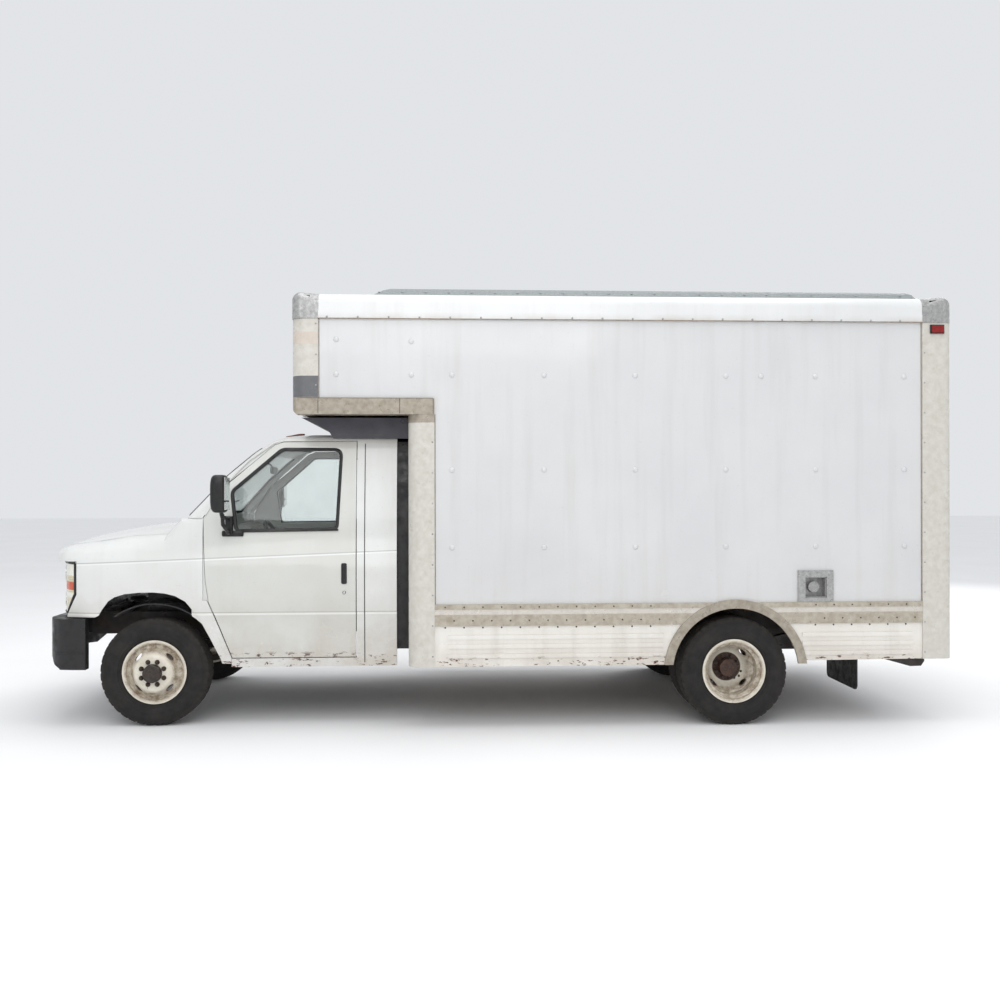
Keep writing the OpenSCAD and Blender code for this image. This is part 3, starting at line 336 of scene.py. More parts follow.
def aged_paint(name, colour, shade, roughness=0.35, grime=(0.42, 0.9, 0.5), streaks=0.2, rust=None,
               speckle=0.15, crease_shade_and_highlight=()):
    """White enamel gone dull: cloudy, streaked by rain, dusty low down, with painted shade and painted
    highlight lines along its pressed creases, and rusty where it flakes.
    """
    f = Finish(name, roughness, coat=0.15)
    z = f.parts[2]
    base = f.mix(f.band(f.noise(1.3, 4), 0.35, 0.7), colour, shade)
    rain = f.band(f.noise(9.0, 4, 0.6, (1, 1, 0.06)), 0.5, 0.75, streaks)
    base = f.mix(rain, base, rgb(186, 180, 170))
    dust = f.math("MULTIPLY", f.band(z, grime[1], grime[0]), f.band(f.noise(3.5, 5, 0.6), 0.3, 0.72, grime[2]))
    base = f.mix(dust, base, rgb(166, 148, 124))
    specks = f.band(f.noise(60, 2, 0.5), 0.68, 0.76, speckle)
    base = f.mix(specks, base, rgb(150, 138, 122))
    # Thin dark lines of painted shade and pale lines of painted highlight along the pressed creases.
    for start, height, slope, half, tone in crease_shade_and_highlight:
        line = f.math("SUBTRACT", z, f.math("MULTIPLY", f.math("SUBTRACT", f.parts[0], start), slope))
        base = f.mix(f.math("MULTIPLY", f.window(line, height - half, height + half, 0.004), 0.75), base, tone)
    if rust:
        low, high, amount = rust
        near = f.window(z, low, high, 0.03)
        spots = f.band(f.noise(26, 6, 0.7, (0.55, 1, 1.6)), 1 - amount, 1.03 - amount)
        base = f.mix(f.math("MULTIPLY", near, spots), base,
                     f.mix(f.band(f.noise(90, 3), 0.4, 0.62), rgb(96, 52, 30), rgb(58, 36, 28)))
    f.colour(base)
    f.rough(f.band(f.math("ADD", f.noise(4, 4), dust), 0.2, 1.6, roughness + 0.35))
    f.bump(f.noise(240, 2, 0.5), 0.0003, 0.25)
    return f.material


def plain(name, colour, other, scale=40.0, roughness=0.5, metallic=0.0, grain=0.0004, strength=0.4, **more):
    """One colour broken up by a second, with a grain in its surface."""
    f = Finish(name, roughness, metallic, **more)
    f.colour(f.mix(f.band(f.noise(scale, 5, 0.6), 0.35, 0.68), colour, other))
    f.rough(f.band(f.noise(scale * 0.6, 3), 0.1, 0.95, min(1.0, roughness * 1.7)))
    f.bump(f.noise(scale * 6, 3, 0.6), grain, strength)
    return f.material


def rim_finish(name, centre, hub_radius, hub_colour):
    """Cream steel wheel paint, dark hub, brown dirt and painted shade where the disc meets the barrel."""
    f = Finish(name, 0.4, coat=0.1)
    r = f.radius_from(centre)
    base = f.mix(f.band(f.noise(14, 5), 0.35, 0.7), rgb(226, 220, 205), rgb(208, 200, 184))
    # A brown band in the recess where the disc meets the barrel, partly dirt and partly painted shade.
    recess_dirt_and_shade = f.math("MULTIPLY", f.window(r, 0.146, 0.196, 0.02), f.band(f.noise(26, 6, 0.7), 0.32, 0.62, 0.85))
    base = f.mix(recess_dirt_and_shade, base, rgb(126, 104, 80))
    chips = f.band(f.noise(75, 4, 0.7), 0.66, 0.7, 0.8)
    base = f.mix(chips, base, rgb(92, 62, 42))
    hub = f.band(r, hub_radius + 0.004, hub_radius)
    rusty = f.mix(f.band(f.noise(45, 5, 0.7), 0.35, 0.65), hub_colour, rgb(42, 30, 26))
    f.colour(f.mix(hub, base, rusty))
    f.rough(f.band(f.math("ADD", f.math("ADD", recess_dirt_and_shade, hub), f.noise(12)), 0.0, 2.2, 1.0))
    f.bump(f.noise(120, 4), 0.0005, 0.4)
    return f.material


def tyre_finish(name, centre):
    """Black rubber, dusty brown on the tread and paler on the scuffed sidewall."""
    f = Finish(name, 0.85, specular=0.3)
    r = f.radius_from(centre)
    base = f.mix(f.band(f.noise(18, 5), 0.3, 0.7), rgb(33, 32, 32), rgb(44, 42, 41))
    dusty = f.math("MULTIPLY", f.band(r, 0.335, 0.372), f.band(f.noise(30, 5, 0.7), 0.3, 0.7, 0.55))
    base = f.mix(dusty, base, rgb(78, 72, 64))
    rings = f.math("MULTIPLY", f.window(r, 0.24, 0.33, 0.01), f.band(f.noise(6, 4), 0.45, 0.75, 0.35))
    base = f.mix(rings, base, rgb(66, 62, 58))
    f.colour(base)
    f.bump(f.noise(220, 3, 0.6), 0.0006, 0.5)
    return f.material


def clear(name, tint, weight, roughness=0.03):
    """Tinted glass or clear plastic."""
    f = Finish(name, roughness, specular=0.5, **{"Transmission Weight": weight, "IOR": 1.45})
    f.colour(f.mix(f.band(f.noise(5, 3), 0.4, 0.7), tint, tuple(c * 0.94 for c in tint[:3]) + (1,)))
    return f.material


# Painted shade and painted highlight along the pressed creases in the cab's side. Each is a thin dark line of
# painted shade or a pale line of painted highlight, given as (first x, height there, rise per metre, half
# width, colour).
CREASE_SHADE_AND_HIGHLIGHT = (
    (back(-0.49), 1.128, 0.038, 0.0015, rgb(168, 168, 164)),
    (back(-0.49), 1.119, 0.038, 0.003, rgb(236, 237, 236)),
    (back(0.3), 0.786, 0.0, 0.0015, rgb(172, 168, 160)),
    (back(0.3), 0.774, 0.0, 0.005, rgb(236, 235, 231)),
)
CAB = aged_paint("cab_paint", rgb(224, 225, 223), rgb(214, 214, 210), 0.3, (0.42, 1.15, 0.55), 0.12,
                 (0.395, 0.470, 0.44), crease_shade_and_highlight=CREASE_SHADE_AND_HIGHLIGHT)
DOOR = aged_paint("door_paint", rgb(212, 213, 208), rgb(203, 202, 196), 0.3, (0.4, 1.0, 0.62), 0.12,
                  (0.46, 0.485, 0.46), crease_shade_and_highlight=CREASE_SHADE_AND_HIGHLIGHT)
PANEL = aged_paint("box_panel_paint", rgb(213, 213, 213), rgb(207, 207, 208), 0.38, (0.7, 1.4, 0.12), 0.22,
                   None, 0.1)
RAIL = aged_paint("rail_paint", rgb(224, 225, 225), rgb(217, 218, 218), 0.34, (2.79, 2.84, 0.5), 0.18,
                  None, 0.1)
POST = aged_paint("post_paint", rgb(208, 205, 197), rgb(196, 191, 181), 0.45, (0.4, 1.4, 0.35), 0.4,
                  (2.7, 2.8, 0.34))
SKIRT = aged_paint("skirt_paint", rgb(233, 230, 224), rgb(223, 218, 210), 0.4, (0.42, 0.62, 0.55), 0.35,
                   (0.42, 0.47, 0.42))
ALUMINIUM = plain("dull_aluminium", rgb(172, 164, 150), rgb(144, 134, 120), 22, 0.5, 0.35, 0.0004, 0.5)
CAP = plain("cap_aluminium", rgb(178, 178, 177), rgb(146, 145, 143), 45, 0.45, 0.4, 0.0006, 0.6)
CHASSIS = plain("chassis_paint", rgb(44, 42, 41), rgb(64, 54, 46), 16, 0.7)
ENGINE = plain("engine_cast", rgb(84, 84, 84), rgb(60, 56, 52), 20, 0.6, 0.3)
STEEL = plain("dull_steel", rgb(128, 112, 98), rgb(92, 70, 54), 24, 0.6, 0.5)
CAST = plain("rusty_cast", rgb(88, 66, 50), rgb(58, 46, 38), 30, 0.75, 0.25)
BLACK = plain("black_plastic", rgb(28, 28, 29), rgb(36, 36, 37), 30, 0.55)
BUMPER = plain("bumper_plastic", rgb(30, 29, 30), rgb(24, 23, 24), 24, 0.6)
RUBBER = plain("rubber", rgb(25, 25, 25), rgb(34, 33, 32), 30, 0.75)
TRIM = plain("interior_plastic", rgb(118, 112, 104), rgb(104, 98, 90), 50, 0.65)
MAT = plain("floor_mat", rgb(70, 68, 66), rgb(54, 52, 50), 60, 0.85)
WOOD = plain("floor_boards", rgb(140, 112, 82), rgb(106, 82, 58), 7, 0.7)
CLOTH = plain("seat_cloth", rgb(122, 112, 100), rgb(98, 90, 80), 160, 0.95, 0.0, 0.0012, 0.7,
              **{"Sheen Weight": 0.35})
FAIRING = plain("fairing_plastic", rgb(82, 81, 90), rgb(72, 71, 77), 9, 0.6)
ROOF = plain("roof_sheet", rgb(140, 146, 146), rgb(118, 124, 124), 120, 0.65, 0.0, 0.0015, 0.8)
AMBER = plain("weathered_amber", rgb(128, 62, 34), rgb(84, 44, 30), 60, 0.6)
RED = plain("red_lens", rgb(150, 18, 20), rgb(110, 10, 14), 60, 0.25)
ORANGE = plain("orange_lens", rgb(216, 84, 34), rgb(190, 62, 26), 60, 0.25)
CHROME = plain("bright_metal", rgb(206, 206, 204), rgb(186, 186, 182), 20, 0.2, 0.9, 0.0002, 0.2)
GLASS = clear("tinted_glass", rgb(240, 246, 244), 1.0, 0.0)
# Dark colour of painted shadow, laid as thin strips in seams and joints.
SEAM_SHADOW = plain("seam_shadow", rgb(52, 50, 50), rgb(70, 66, 62), 30, 0.8)
DUST_SEAL = plain("sealant", rgb(150, 136, 120), rgb(120, 106, 92), 40, 0.8)


def lamp_finish():
    """The headlamp's zones: bright bands, a ribbed yellowed middle and a beige foot."""
    f = Finish("headlamp_lens", 0.2, coat=0.6)
    z = f.parts[2]
    ribs = f.math("PINGPONG", z, 0.006)
    middle_colour = f.mix(f.band(ribs, 0.002, 0.004), rgb(222, 210, 168), rgb(196, 184, 142))
    base = f.mix(f.band(z, 1.035, 1.045), middle_colour, rgb(240, 238, 226))
    base = f.mix(f.band(z, 0.925, 0.918), base, rgb(238, 236, 224))
    base = f.mix(f.band(z, 0.895, 0.885), base, rgb(214, 202, 166))
    base = f.mix(f.band(f.noise(20, 5, 0.7), 0.5, 0.8, 0.4), base, rgb(176, 160, 120))
    f.colour(base)
    f.bump(ribs, 0.002, 0.4)
    return f.material


LAMP = lamp_finish()


def banded(name, colour, shade, bands, roughness=0.5, metallic=0.2, ahead_of=100.0):
    """A rail whose colour changes at heights, ahead of an x: each band is (low, high, colour)."""
    f = Finish(name, roughness, metallic)
    base = f.mix(f.band(f.noise(22, 5, 0.6), 0.35, 0.68), colour, shade)
    for low, high, other in bands:
        worn = f.mix(f.band(f.noise(30, 4), 0.4, 0.75), other, tuple(c * 0.88 for c in other[:3]) + (1,))
        ahead = f.band(f.parts[0], ahead_of + 0.001, ahead_of)
        base = f.mix(f.math("MULTIPLY", ahead, f.window(f.parts[2], low, high, 0.001)), base, worn)
    f.colour(base)
    f.rough(f.band(f.noise(13, 3), 0.1, 0.95, 0.8))
    f.bump(f.noise(130, 3, 0.6), 0.0004, 0.4)
    return f.material


RUB_RAIL = banded("rub_rail", rgb(186, 179, 165), rgb(160, 150, 134), [(0.782, 0.817, rgb(212, 206, 197))])
ATTIC_POST = banded("corner_post_paint", rgb(208, 205, 197), rgb(196, 191, 181),
                    [(2.257, 2.403, rgb(104, 105, 108)), (2.62, 2.70, rgb(208, 196, 184))], 0.45, 0.0,
                    LOFT_X + 0.3)
NODE_FINISH = {
    "frame": CHASSIS, "engine_block": ENGINE, "front_axle": CHASSIS, "rear_axle": CHASSIS, "springs": CHASSIS,
    "driveshaft": STEEL, "exhaust": STEEL, "fuel_tank": CHASSIS, "cab_shell": CAB, "cab_floor": MAT,
    "hood": CAB,
    "fender_left": CAB, "fender_right": CAB, "windshield": GLASS, "grille": BLACK, "headlamps": LAMP,
    "front_bumper": BUMPER, "wheel_liners": BLACK, "dashboard": TRIM, "steering_wheel": BLACK,
    "cab_boot": RUBBER,
    "cab_lamps": AMBER, "loft_fairing": FAIRING, "loft_rails": ALUMINIUM, "cargo_floor": WOOD,
    "front_wall": PANEL,
    "side_wall_left": PANEL, "side_wall_right": PANEL, "roof": ROOF, "roof_rails": RAIL, "corner_caps": CAP,
    "rear_frame": POST, "roll_door": PANEL, "wheel_arches": ALUMINIUM, "side_skirts": SKIRT,
    "rub_rails": RUB_RAIL, "corner_posts": ATTIC_POST, "fuel_filler": CAP, "rear_bumper": CHASSIS,
    "mud_flaps": RUBBER, "marker_lamps": RED, "door_left": DOOR, "door_right": DOOR, "door_glass_left": GLASS,
    "door_glass_right": GLASS, "knuckle_left": CAST, "knuckle_right": CAST,
}
for name, centre, hub_radius, hub_colour in (("front_rim_", FRONT_WHEEL, 0.062, rgb(64, 54, 48)),
                                             ("rear_rims_", REAR_WHEEL, 0.1, rgb(88, 60, 46))):
    for side in ("left", "right"):
        NODE_FINISH[name + side] = rim_finish(name + side + "_paint", centre, hub_radius, hub_colour)


def dress(name, material):
    """Gives a CAD node its material and smooth shading across its shallow facets."""
    node = NODES[name]
    node.data.materials.clear()
    node.data.materials.append(material)
    weld = node.modifiers.new("weld", "WELD")
    weld.merge_threshold = 0.00002
    smooth = node.modifiers.new("normals", "EDGE_SPLIT")
    smooth.split_angle = math.radians(32)
    for p in node.data.polygons:
        p.use_smooth = True


for name, material in NODE_FINISH.items():
    dress(name, material)


# ------------------------------------------------------------ tyres
TYRE_LOW, TYRE_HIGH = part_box("front_tyre_left")
TYRE_R = TYRE_HIGH.z - FRONT_WHEEL.z
TYRE_HALF = (TYRE_HIGH.y - TYRE_LOW.y) / 2
BEAD_R = 0.204
TREAD_STEPS = 216


def tyre_profile():
    """(radius, along, kind) round one tyre; kind says how the tread cuts that point."""
    h = TYRE_HALF
    side = [(BEAD_R, h - 0.036), (0.222, h - 0.033), (0.229, h - 0.020), (0.238, h - 0.013),
            (0.243, h - 0.0125), (0.247, h - 0.007), (0.262, h - 0.003), (0.272, h - 0.0012),
            (0.276, h + 0.0008), (0.281, h + 0.0008), (0.286, h),
            (0.306, h - 0.0003), (0.312, h + 0.0003), (0.318, h - 0.0016), (0.334, h - 0.005)]
    shoulder = [(0.346, h - 0.010, "lug"), (0.358, h - 0.017, "lug"), (TYRE_R - 0.003, h - 0.030, "block"),
                (TYRE_R - 0.0005, h - 0.044, "block")]
    grooves = []
    for groove, zigzag in ((0.046, 1), (0.016, -1)):
        for edge, deep in ((0.0045, 0), (0.003, 1), (-0.003, 1), (-0.0045, 0)):
            grooves.append((TYRE_R - 0.009 * deep, groove + edge, "zig" if zigzag > 0 else "zag"))
    half = [(r, y, "side") for r, y in side] + shoulder + grooves
    return half + [(r, -y, k) for r, y, k in reversed(half)]


def tyre(shape, centre):
    """Adds one tyre whose ribs zigzag and whose shoulders are cut into lugs."""
    profile = tyre_profile()
    rows = []
    for step in range(TREAD_STEPS):
        angle = 2 * math.pi * step / TREAD_STEPS
        wave = 0.0035 * (1 if (step // 4) % 2 else -1)
        row = []
        for r, y, kind in profile:
            if kind == "lug" and step % 6 < 2:
                r, y = r - 0.002, y * 0.985
            if kind == "block" and step % 6 < 1:
                r -= 0.006
            if kind == "zig":
                y += wave
            if kind == "zag":
                y -= wave
            row.append(Vector((centre.x + r * math.cos(angle), centre.y + y, centre.z + r * math.sin(angle))))
        rows.append(row)
    shape.rows(rows, close_rows=True, close_columns=True)


TWIN_PITCH = 0.256
TYRES = (
    ("front_tyre_tread_", "front_rubber_", "front_wheel_", "front_tyre_", FRONT_WHEEL, (0,)),
    ("rear_tyre_treads_", "rear_rubber_", "rear_wheels_", "rear_tyres_", REAR_WHEEL,
     (-TWIN_PITCH / 2, TWIN_PITCH / 2)),
)
for side, sign in (("left", -1), ("right", 1)):
    for name, rubber, body, node, wheel, offsets in TYRES:
        centre = Vector((wheel.x, sign * abs(wheel.y), wheel.z))
        shape = Shape()
        for offset in offsets:
            tyre(shape, centre + Vector((0, offset, 0)))
        made = piece(name + side, shape, tyre_finish(rubber + side, centre), body + side, "tyre", angle=28)
        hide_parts(node + side)


# ------------------------------------------------------------ wheel nuts and caps
STUD_R = 0.0825
FRONT_DISC_Y = -(abs(FRONT_WHEEL.y) + TWIN_PITCH / 2)
REAR_DISC_Y = REAR_WHEEL.y - 0.012
FRONT_HUB_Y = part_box("front_rim_left")[0].y
REAR_HUB_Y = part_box("rear_rims_left")[0].y
NUT_DARK = plain("dark_nuts", rgb(78, 62, 52), rgb(48, 40, 36), 60, 0.55, 0.4)


def round_hub(wheel, y, radius, first):
    """Eight even places round a wheel's axis, from first degrees on."""
    angles = [math.radians(first + 45 * k) for k in range(8)]
    return [Vector((wheel.x + radius * math.cos(a), y, wheel.z + radius * math.sin(a))) for a in angles]


def studs(wheel, y):
    """Eight wheel nuts with their studs' ends."""
    made = Shape()
    for place in round_hub(wheel, y, STUD_R, 22.5):
        made.nut(place, LEFTWARD, 0.0135, 0.022)
        made.lathe([(0.006, 0), (0.006, 0.028), (TIP, 0.029)], place, LEFTWARD, 8)
    return made


pair("front_nuts", studs(FRONT_WHEEL, FRONT_DISC_Y), NUT_DARK, FRONT_WHEELS, "cast")
nuts = studs(REAR_WHEEL, REAR_DISC_Y)
for place in round_hub(REAR_WHEEL, REAR_HUB_Y, 0.046, 0):
    nuts.nut(place, LEFTWARD, 0.007, 0.006)
pair("rear_nuts", nuts, NUT_DARK, REAR_WHEELS, "cast")
cap = Shape()
cap.lathe([(0.0615, 0), (0.0615, 0.004), (0.056, 0.009), (0.044, 0.0085), (0.04, 0.006), (0.02, 0.0065),
           (TIP, 0.0075)], (FRONT_WHEEL.x, FRONT_HUB_Y + 0.002, FRONT_WHEEL.z), LEFTWARD, 40)
HUB_BLACK = plain("hub_cap_black", rgb(46, 40, 38), rgb(66, 54, 46), 40, 0.5, 0.2)
pair("hub_cap", cap, HUB_BLACK, FRONT_WHEELS, "cast")


# ------------------------------------------------------------ box rivets
PANEL_COLUMNS = [back(2.061 + 0.629 * k) for k in range(6)]
PANEL_ROWS = (2.414, 1.768, 1.238)
RIVET_PITCH = 0.208
SLEEVE_R = 0.071
SLEEVE_LAP = 0.055

rivets = Shape()
places = [(x, z) for x in PANEL_COLUMNS for z in PANEL_ROWS]
places += [(back(1.279), 2.651), (back(1.786), 2.640), (back(1.279), 2.415), (back(1.786), 2.414)]
places.append((back(4.196), 2.414))
for x, z in places:
    rivets.dome((x, -WALL_Y, z), LEFTWARD, 0.019, 0.009, 16)
pair("panel_rivets", rivets, PANEL, slot="box_paint")

sleeves = Shape()
sleeve_y, sleeve_z = RAIL_LOW.y - 0.001, RAIL_HIGH.z + 0.001
for x0, x1 in ((RAIL_LOW.x - SLEEVE_LAP, RAIL_LOW.x + 0.004), (RAIL_HIGH.x - 0.004, RAIL_HIGH.x + SLEEVE_LAP)):
    rows = []
    for x in (x0, x1):
        outer = [(sleeve_y, RAIL_HIGH.z - 0.12)]
        for a in [math.pi - math.pi / 2 * k / 8 for k in range(9)]:
            outer.append((sleeve_y + SLEEVE_R * (1 + math.cos(a)), sleeve_z - SLEEVE_R * (1 - math.sin(a))))
        outer.append((-1.094, sleeve_z))
        inner = [(y + 0.004, z - 0.004) for y, z in reversed(outer)]
        rows.append([Vector((x, y, z)) for y, z in outer + inner])
    sleeves.rows(rows, close_columns=True, caps=True)
pair("rail_sleeves", sleeves, CAP, slot="cap_aluminium")

rivets = Shape()
for k in range(int((RAIL_HIGH.x - RAIL_LOW.x) / RIVET_PITCH) + 1):
    place = (RAIL_LOW.x + 0.06 + RIVET_PITCH * k, -BOX_HALF, RAIL_LOW.z + 0.012)
    rivets.dome(place, LEFTWARD, 0.007, 0.004)
pair("rail_rivets", rivets, CAP, slot="cap_aluminium")

rivets = Shape()
for x, low, high in ((BOX_FRONT_X + 0.165, 0.5, 2.05), (REAR_X - 0.2, 0.5, 2.72), (LOFT_X + 0.165, 2.34, 2.76)):
    for k in range(int((high - low) / RIVET_PITCH) + 1):
        rivets.dome((x, -BOX_HALF + 0.002, low + RIVET_PITCH * k), LEFTWARD, 0.006, 0.004)
pair("post_rivets", rivets, CAP, slot="cap_aluminium")

rivets = Shape()
for k in range(27):
    x = BOX_FRONT_X + 0.25 + 0.128 * k
    if abs(x - REAR_WHEEL.x) > 0.54 and x < REAR_X - 0.22:
        rivets.dome((x, -WALL_Y - 0.004, 0.694), LEFTWARD, 0.006, 0.004)
        rivets.dome((x, -BOX_HALF, 0.834), LEFTWARD, 0.0055, 0.0035)
        rivets.dome((x + 0.06, -BOX_HALF, 0.742), LEFTWARD, 0.0055, 0.0035)
pair("rub_rail_rivets", rivets, CAST, slot="cast")


# ------------------------------------------------------------ box seams
LOFT_RAIL_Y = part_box("loft_rails")[0].y
seam_y = (LOFT_RAIL_Y - 0.0008, LOFT_RAIL_Y + 0.004)
# Thin dark strips of painted shadow in the seams of the loft rails.
seams = Shape()
for x in (LOFT_X + POST_WIDTH, back(1.708), back(1.934)):
    seams.block((x - 0.002, seam_y[0], 2.149), (x + 0.002, seam_y[1], 2.250), 0.0003)
seams.block((LOFT_X + 0.06, seam_y[0], 2.2525), (back(1.934), seam_y[1], 2.2555), 0.0003)
pair("loft_rail_seam_shadows", seams, SEAM_SHADOW, slot="rubber")
sealant = Shape()
sealant.block((RAIL_LOW.x, -BOX_HALF - 0.0035, RAIL_LOW.z - 0.001),
              (RAIL_HIGH.x, -BOX_HALF + 0.004, RAIL_LOW.z + 0.0045), 0.001)
for x, low, high in ((LOFT_X + 0.182, 2.254, RAIL_LOW.z), (back(1.944), 0.855, 2.145),
                     (REAR_X - 0.221, 0.855, RAIL_LOW.z)):
    sealant.block((x, -WALL_Y - 0.0015, low), (x + 0.005, -WALL_Y + 0.002, high), 0.0004)
pair("panel_sealant", sealant, DUST_SEAL, slot="dull_aluminium")


# ------------------------------------------------------------ cab side trim
def side_y(z):
    """The cab side's y at height z, read on the door behind its window."""
    return on_cab(back(1.335), z).y


def rounded(points, corner, closed=True, count=5):
    """A path of (x, z) points with its corners rounded."""
    made = []
    n = len(points)
    for i, p in enumerate(points):
        if not closed and i in (0, n - 1):
            made.append(Vector(p))
            continue
        p, before, after = Vector(p), Vector(points[i - 1]), Vector(points[(i + 1) % n])
        a = p + (before - p).normalized() * min(corner, (before - p).length * 0.45)
        b = p + (after - p).normalized() * min(corner, (after - p).length * 0.45)
        for k in range(count + 1):
            t = k / count
            made.append(a * (1 - t) ** 2 + p * 2 * t * (1 - t) + b * t * t)
    return made


def along(points, step, closed=True):
    """The same path with a point at least every step."""
    made = []
    n = len(points)
    for i in range(n if closed else n - 1):
        a, b = Vector(points[i]), Vector(points[(i + 1) % n])
        parts = max(1, int((b - a).length / step))
        made += [a.lerp(b, k / parts) for k in range(parts)]
    return made if closed else made + [Vector(points[-1])]


WINDOW = [(back(x), z) for x, z in ((0.566, 1.352), (1.258, 1.362), (1.283, 1.890), (1.257, 1.916),
                                    (0.872, 1.918), (0.531, 1.622))]


def ring_on_side(shape, path, section):
    """Sweeps a section of (outward shift, lift) points round a closed (x, z) path on the cab's side."""
    n = len(path)
    inside = sum(path, Vector((0, 0))) / n
    rows = []
    for i, p in enumerate(path):
        way = (path[(i + 1) % n] - path[i - 1]).normalized()
        normal = Vector((way.y, -way.x))
        if normal.dot(p - inside) < 0:
            normal = -normal
        places = [(p + normal * shift, lift) for shift, lift in section]
        rows.append([Vector((q.x, side_y(q.y) - lift, q.y)) for q, lift in places])
    shape.rows(rows, close_rows=True, close_columns=True)


lip = Shape()
ring_on_side(lip, along(rounded(WINDOW, 0.03), 0.03),
             ((0.014, 0.0), (0.0112, 0.004), (-0.006, 0.004), (-0.010, 0.0), (-0.010, -0.016),
              (0.0126, -0.002)))
pair("window_rubber", lip, RUBBER, DOORS, "rubber", angle=50)

BELT_Z = 1.345
belt = Shape()
path = [Vector((back(x), side_y(BELT_Z) - 0.004, BELT_Z + (x - 0.57) * 0.014)) for x in (0.56, 0.8, 1.0, 1.27)]
belt.tube(path, 0.008, 8, flat=0.5)
pair("window_wiper_strip", belt, RUBBER, DOORS, "rubber")

# The rain gutter over the door, in metres behind the front axle and height; above ROOF_TURN it leans inward.
DRIP = [(0.352, 1.462), (0.498, 1.690), (0.640, 1.842), (0.818, 1.966), (0.905, 1.990), (1.392, 1.996),
        (1.660, 1.998)]
ROOF_TURN = 1.975
path = []
for p in along([Vector(p) for p in DRIP], 0.08, closed=False):
    lean = max(0, p.y - ROOF_TURN) * 1.6
    path.append(Vector((back(p.x), side_y(min(p.y, ROOF_TURN)) - 0.004 + lean, p.y)))
drip = Shape()
drip.tube(path, 0.007, 8)
pair("drip_rail", drip, CAB, slot="cab_paint")

# A thin dark strip of painted shadow down a seam in the cab's side.
SEAM_SECTION = ((-0.003, -0.004), (-0.003, 0.001), (0.003, 0.001), (0.003, -0.004))
seam = Shape()
path = [Vector((back(1.452), side_y(z) - 0.0005, z)) for z in [0.43 + 0.03 * k for k in range(52)]]
rows = [[p + Vector((dx, -out, 0)) for dx, out in SEAM_SECTION] for p in path]
seam.rows(rows, close_columns=True, caps=True)
pair("pillar_seam_shadow", seam, SEAM_SHADOW, slot="rubber")

HANDLE_X, HANDLE_LOW, HANDLE_HIGH = (back(1.290), back(1.330)), 0.978, 1.124
handle = Shape()
frame_path = [(HANDLE_X[0], HANDLE_LOW), (HANDLE_X[1], HANDLE_LOW), (HANDLE_X[1], HANDLE_HIGH),
              (HANDLE_X[0], HANDLE_HIGH)]
ring_on_side(handle, along(rounded(frame_path, 0.012), 0.02),
             ((0, -0.001), (-0.001, 0.004), (-0.006, 0.004), (-0.006, -0.001)))
handle_y = side_y((HANDLE_LOW + HANDLE_HIGH) / 2)
handle.block((HANDLE_X[0] + 0.005, handle_y - 0.0015, HANDLE_LOW + 0.005),
             (HANDLE_X[1] - 0.005, handle_y + 0.004, HANDLE_HIGH - 0.005), 0.001)
handle.block((HANDLE_X[0] + 0.009, handle_y - 0.006, HANDLE_LOW + 0.018),
             (HANDLE_X[0] + 0.022, handle_y + 0.002, HANDLE_HIGH - 0.02), 0.003)
LOCK_X, LOCK_Z = back(1.311), 0.919
handle.dome((LOCK_X, side_y(LOCK_Z) + 0.001, LOCK_Z), LEFTWARD, 0.013, 0.005, 20)
pair("door_handle", handle, BLACK, DOORS, "black_plastic")
lock = Shape()
lock.lathe([(0.0085, 0), (0.0085, 0.0075), (0.006, 0.0085), (0.002, 0.0085), (0.002, 0.0065), (TIP, 0.0065)],
           (LOCK_X, side_y(LOCK_Z), LOCK_Z), LEFTWARD, 20)
pair("door_lock", lock, CHROME, DOORS, "steel")


# ------------------------------------------------------------ mirrors
def bulge(value, power=0.42):
    """A sine or cosine flattened toward 1 or -1, which turns a ball into a rounded box."""
    return math.copysign(abs(value) ** power, value)


# How far the housing's rear half, which holds the glass, reaches against its front half.
MIRROR_FLAT = 0.82


def mirror_shape():
    """The door mirror's housing with its two arms and foot, and the housing's centre and half size."""
    shape = Shape()
    centre = Vector((back(0.513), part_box("mirror_left")[0].y + 0.098, 1.608))
    half = Vector((0.056, 0.094, 0.127))
    rows = []
    for v in [-math.pi / 2 + math.pi * i / 18 for i in range(19)]:
        row = []
        for u in [2 * math.pi * k / 28 for k in range(28)]:
            x = bulge(math.cos(v)) * bulge(math.cos(u), 0.6 if math.cos(u) < 0 else 0.3)
            y = bulge(math.cos(v)) * bulge(math.sin(u))
            z = bulge(math.sin(v), 0.5)
            row.append(centre + Vector((x * half.x * (MIRROR_FLAT if x > 0 else 1.0), y * half.y, z * half.z)))
        rows.append(row)
    shape.rows(rows, close_columns=True)
    door_top, door_low = side_y(1.42), side_y(1.33)
    shape.tube([(back(0.520), door_top - 0.001, 1.432), (back(0.520), door_top - 0.05, 1.436),
                (back(0.520), centre.y + 0.03, 1.452), (back(0.518), centre.y, 1.49)], 0.014, 10)
    shape.tube([(back(0.522), door_low - 0.002, 1.335), (back(0.522), door_low - 0.05, 1.34),
                (back(0.520), centre.y + 0.05, 1.40), (back(0.520), centre.y + 0.03, 1.47)], 0.013, 10)
    shape.block((back(0.470), door_low - 0.016, 1.312), (back(0.618), door_low + 0.001, 1.352), 0.006)
    shape.block((back(0.496), door_low - 0.03, 1.33), (back(0.546), door_top + 0.002, 1.452), 0.006)
    for k in range(3):
        shape.nut((back(0.484 + 0.058 * k), door_low - 0.015, 1.326), LEFTWARD, 0.006, 0.005)
    return shape, centre, half


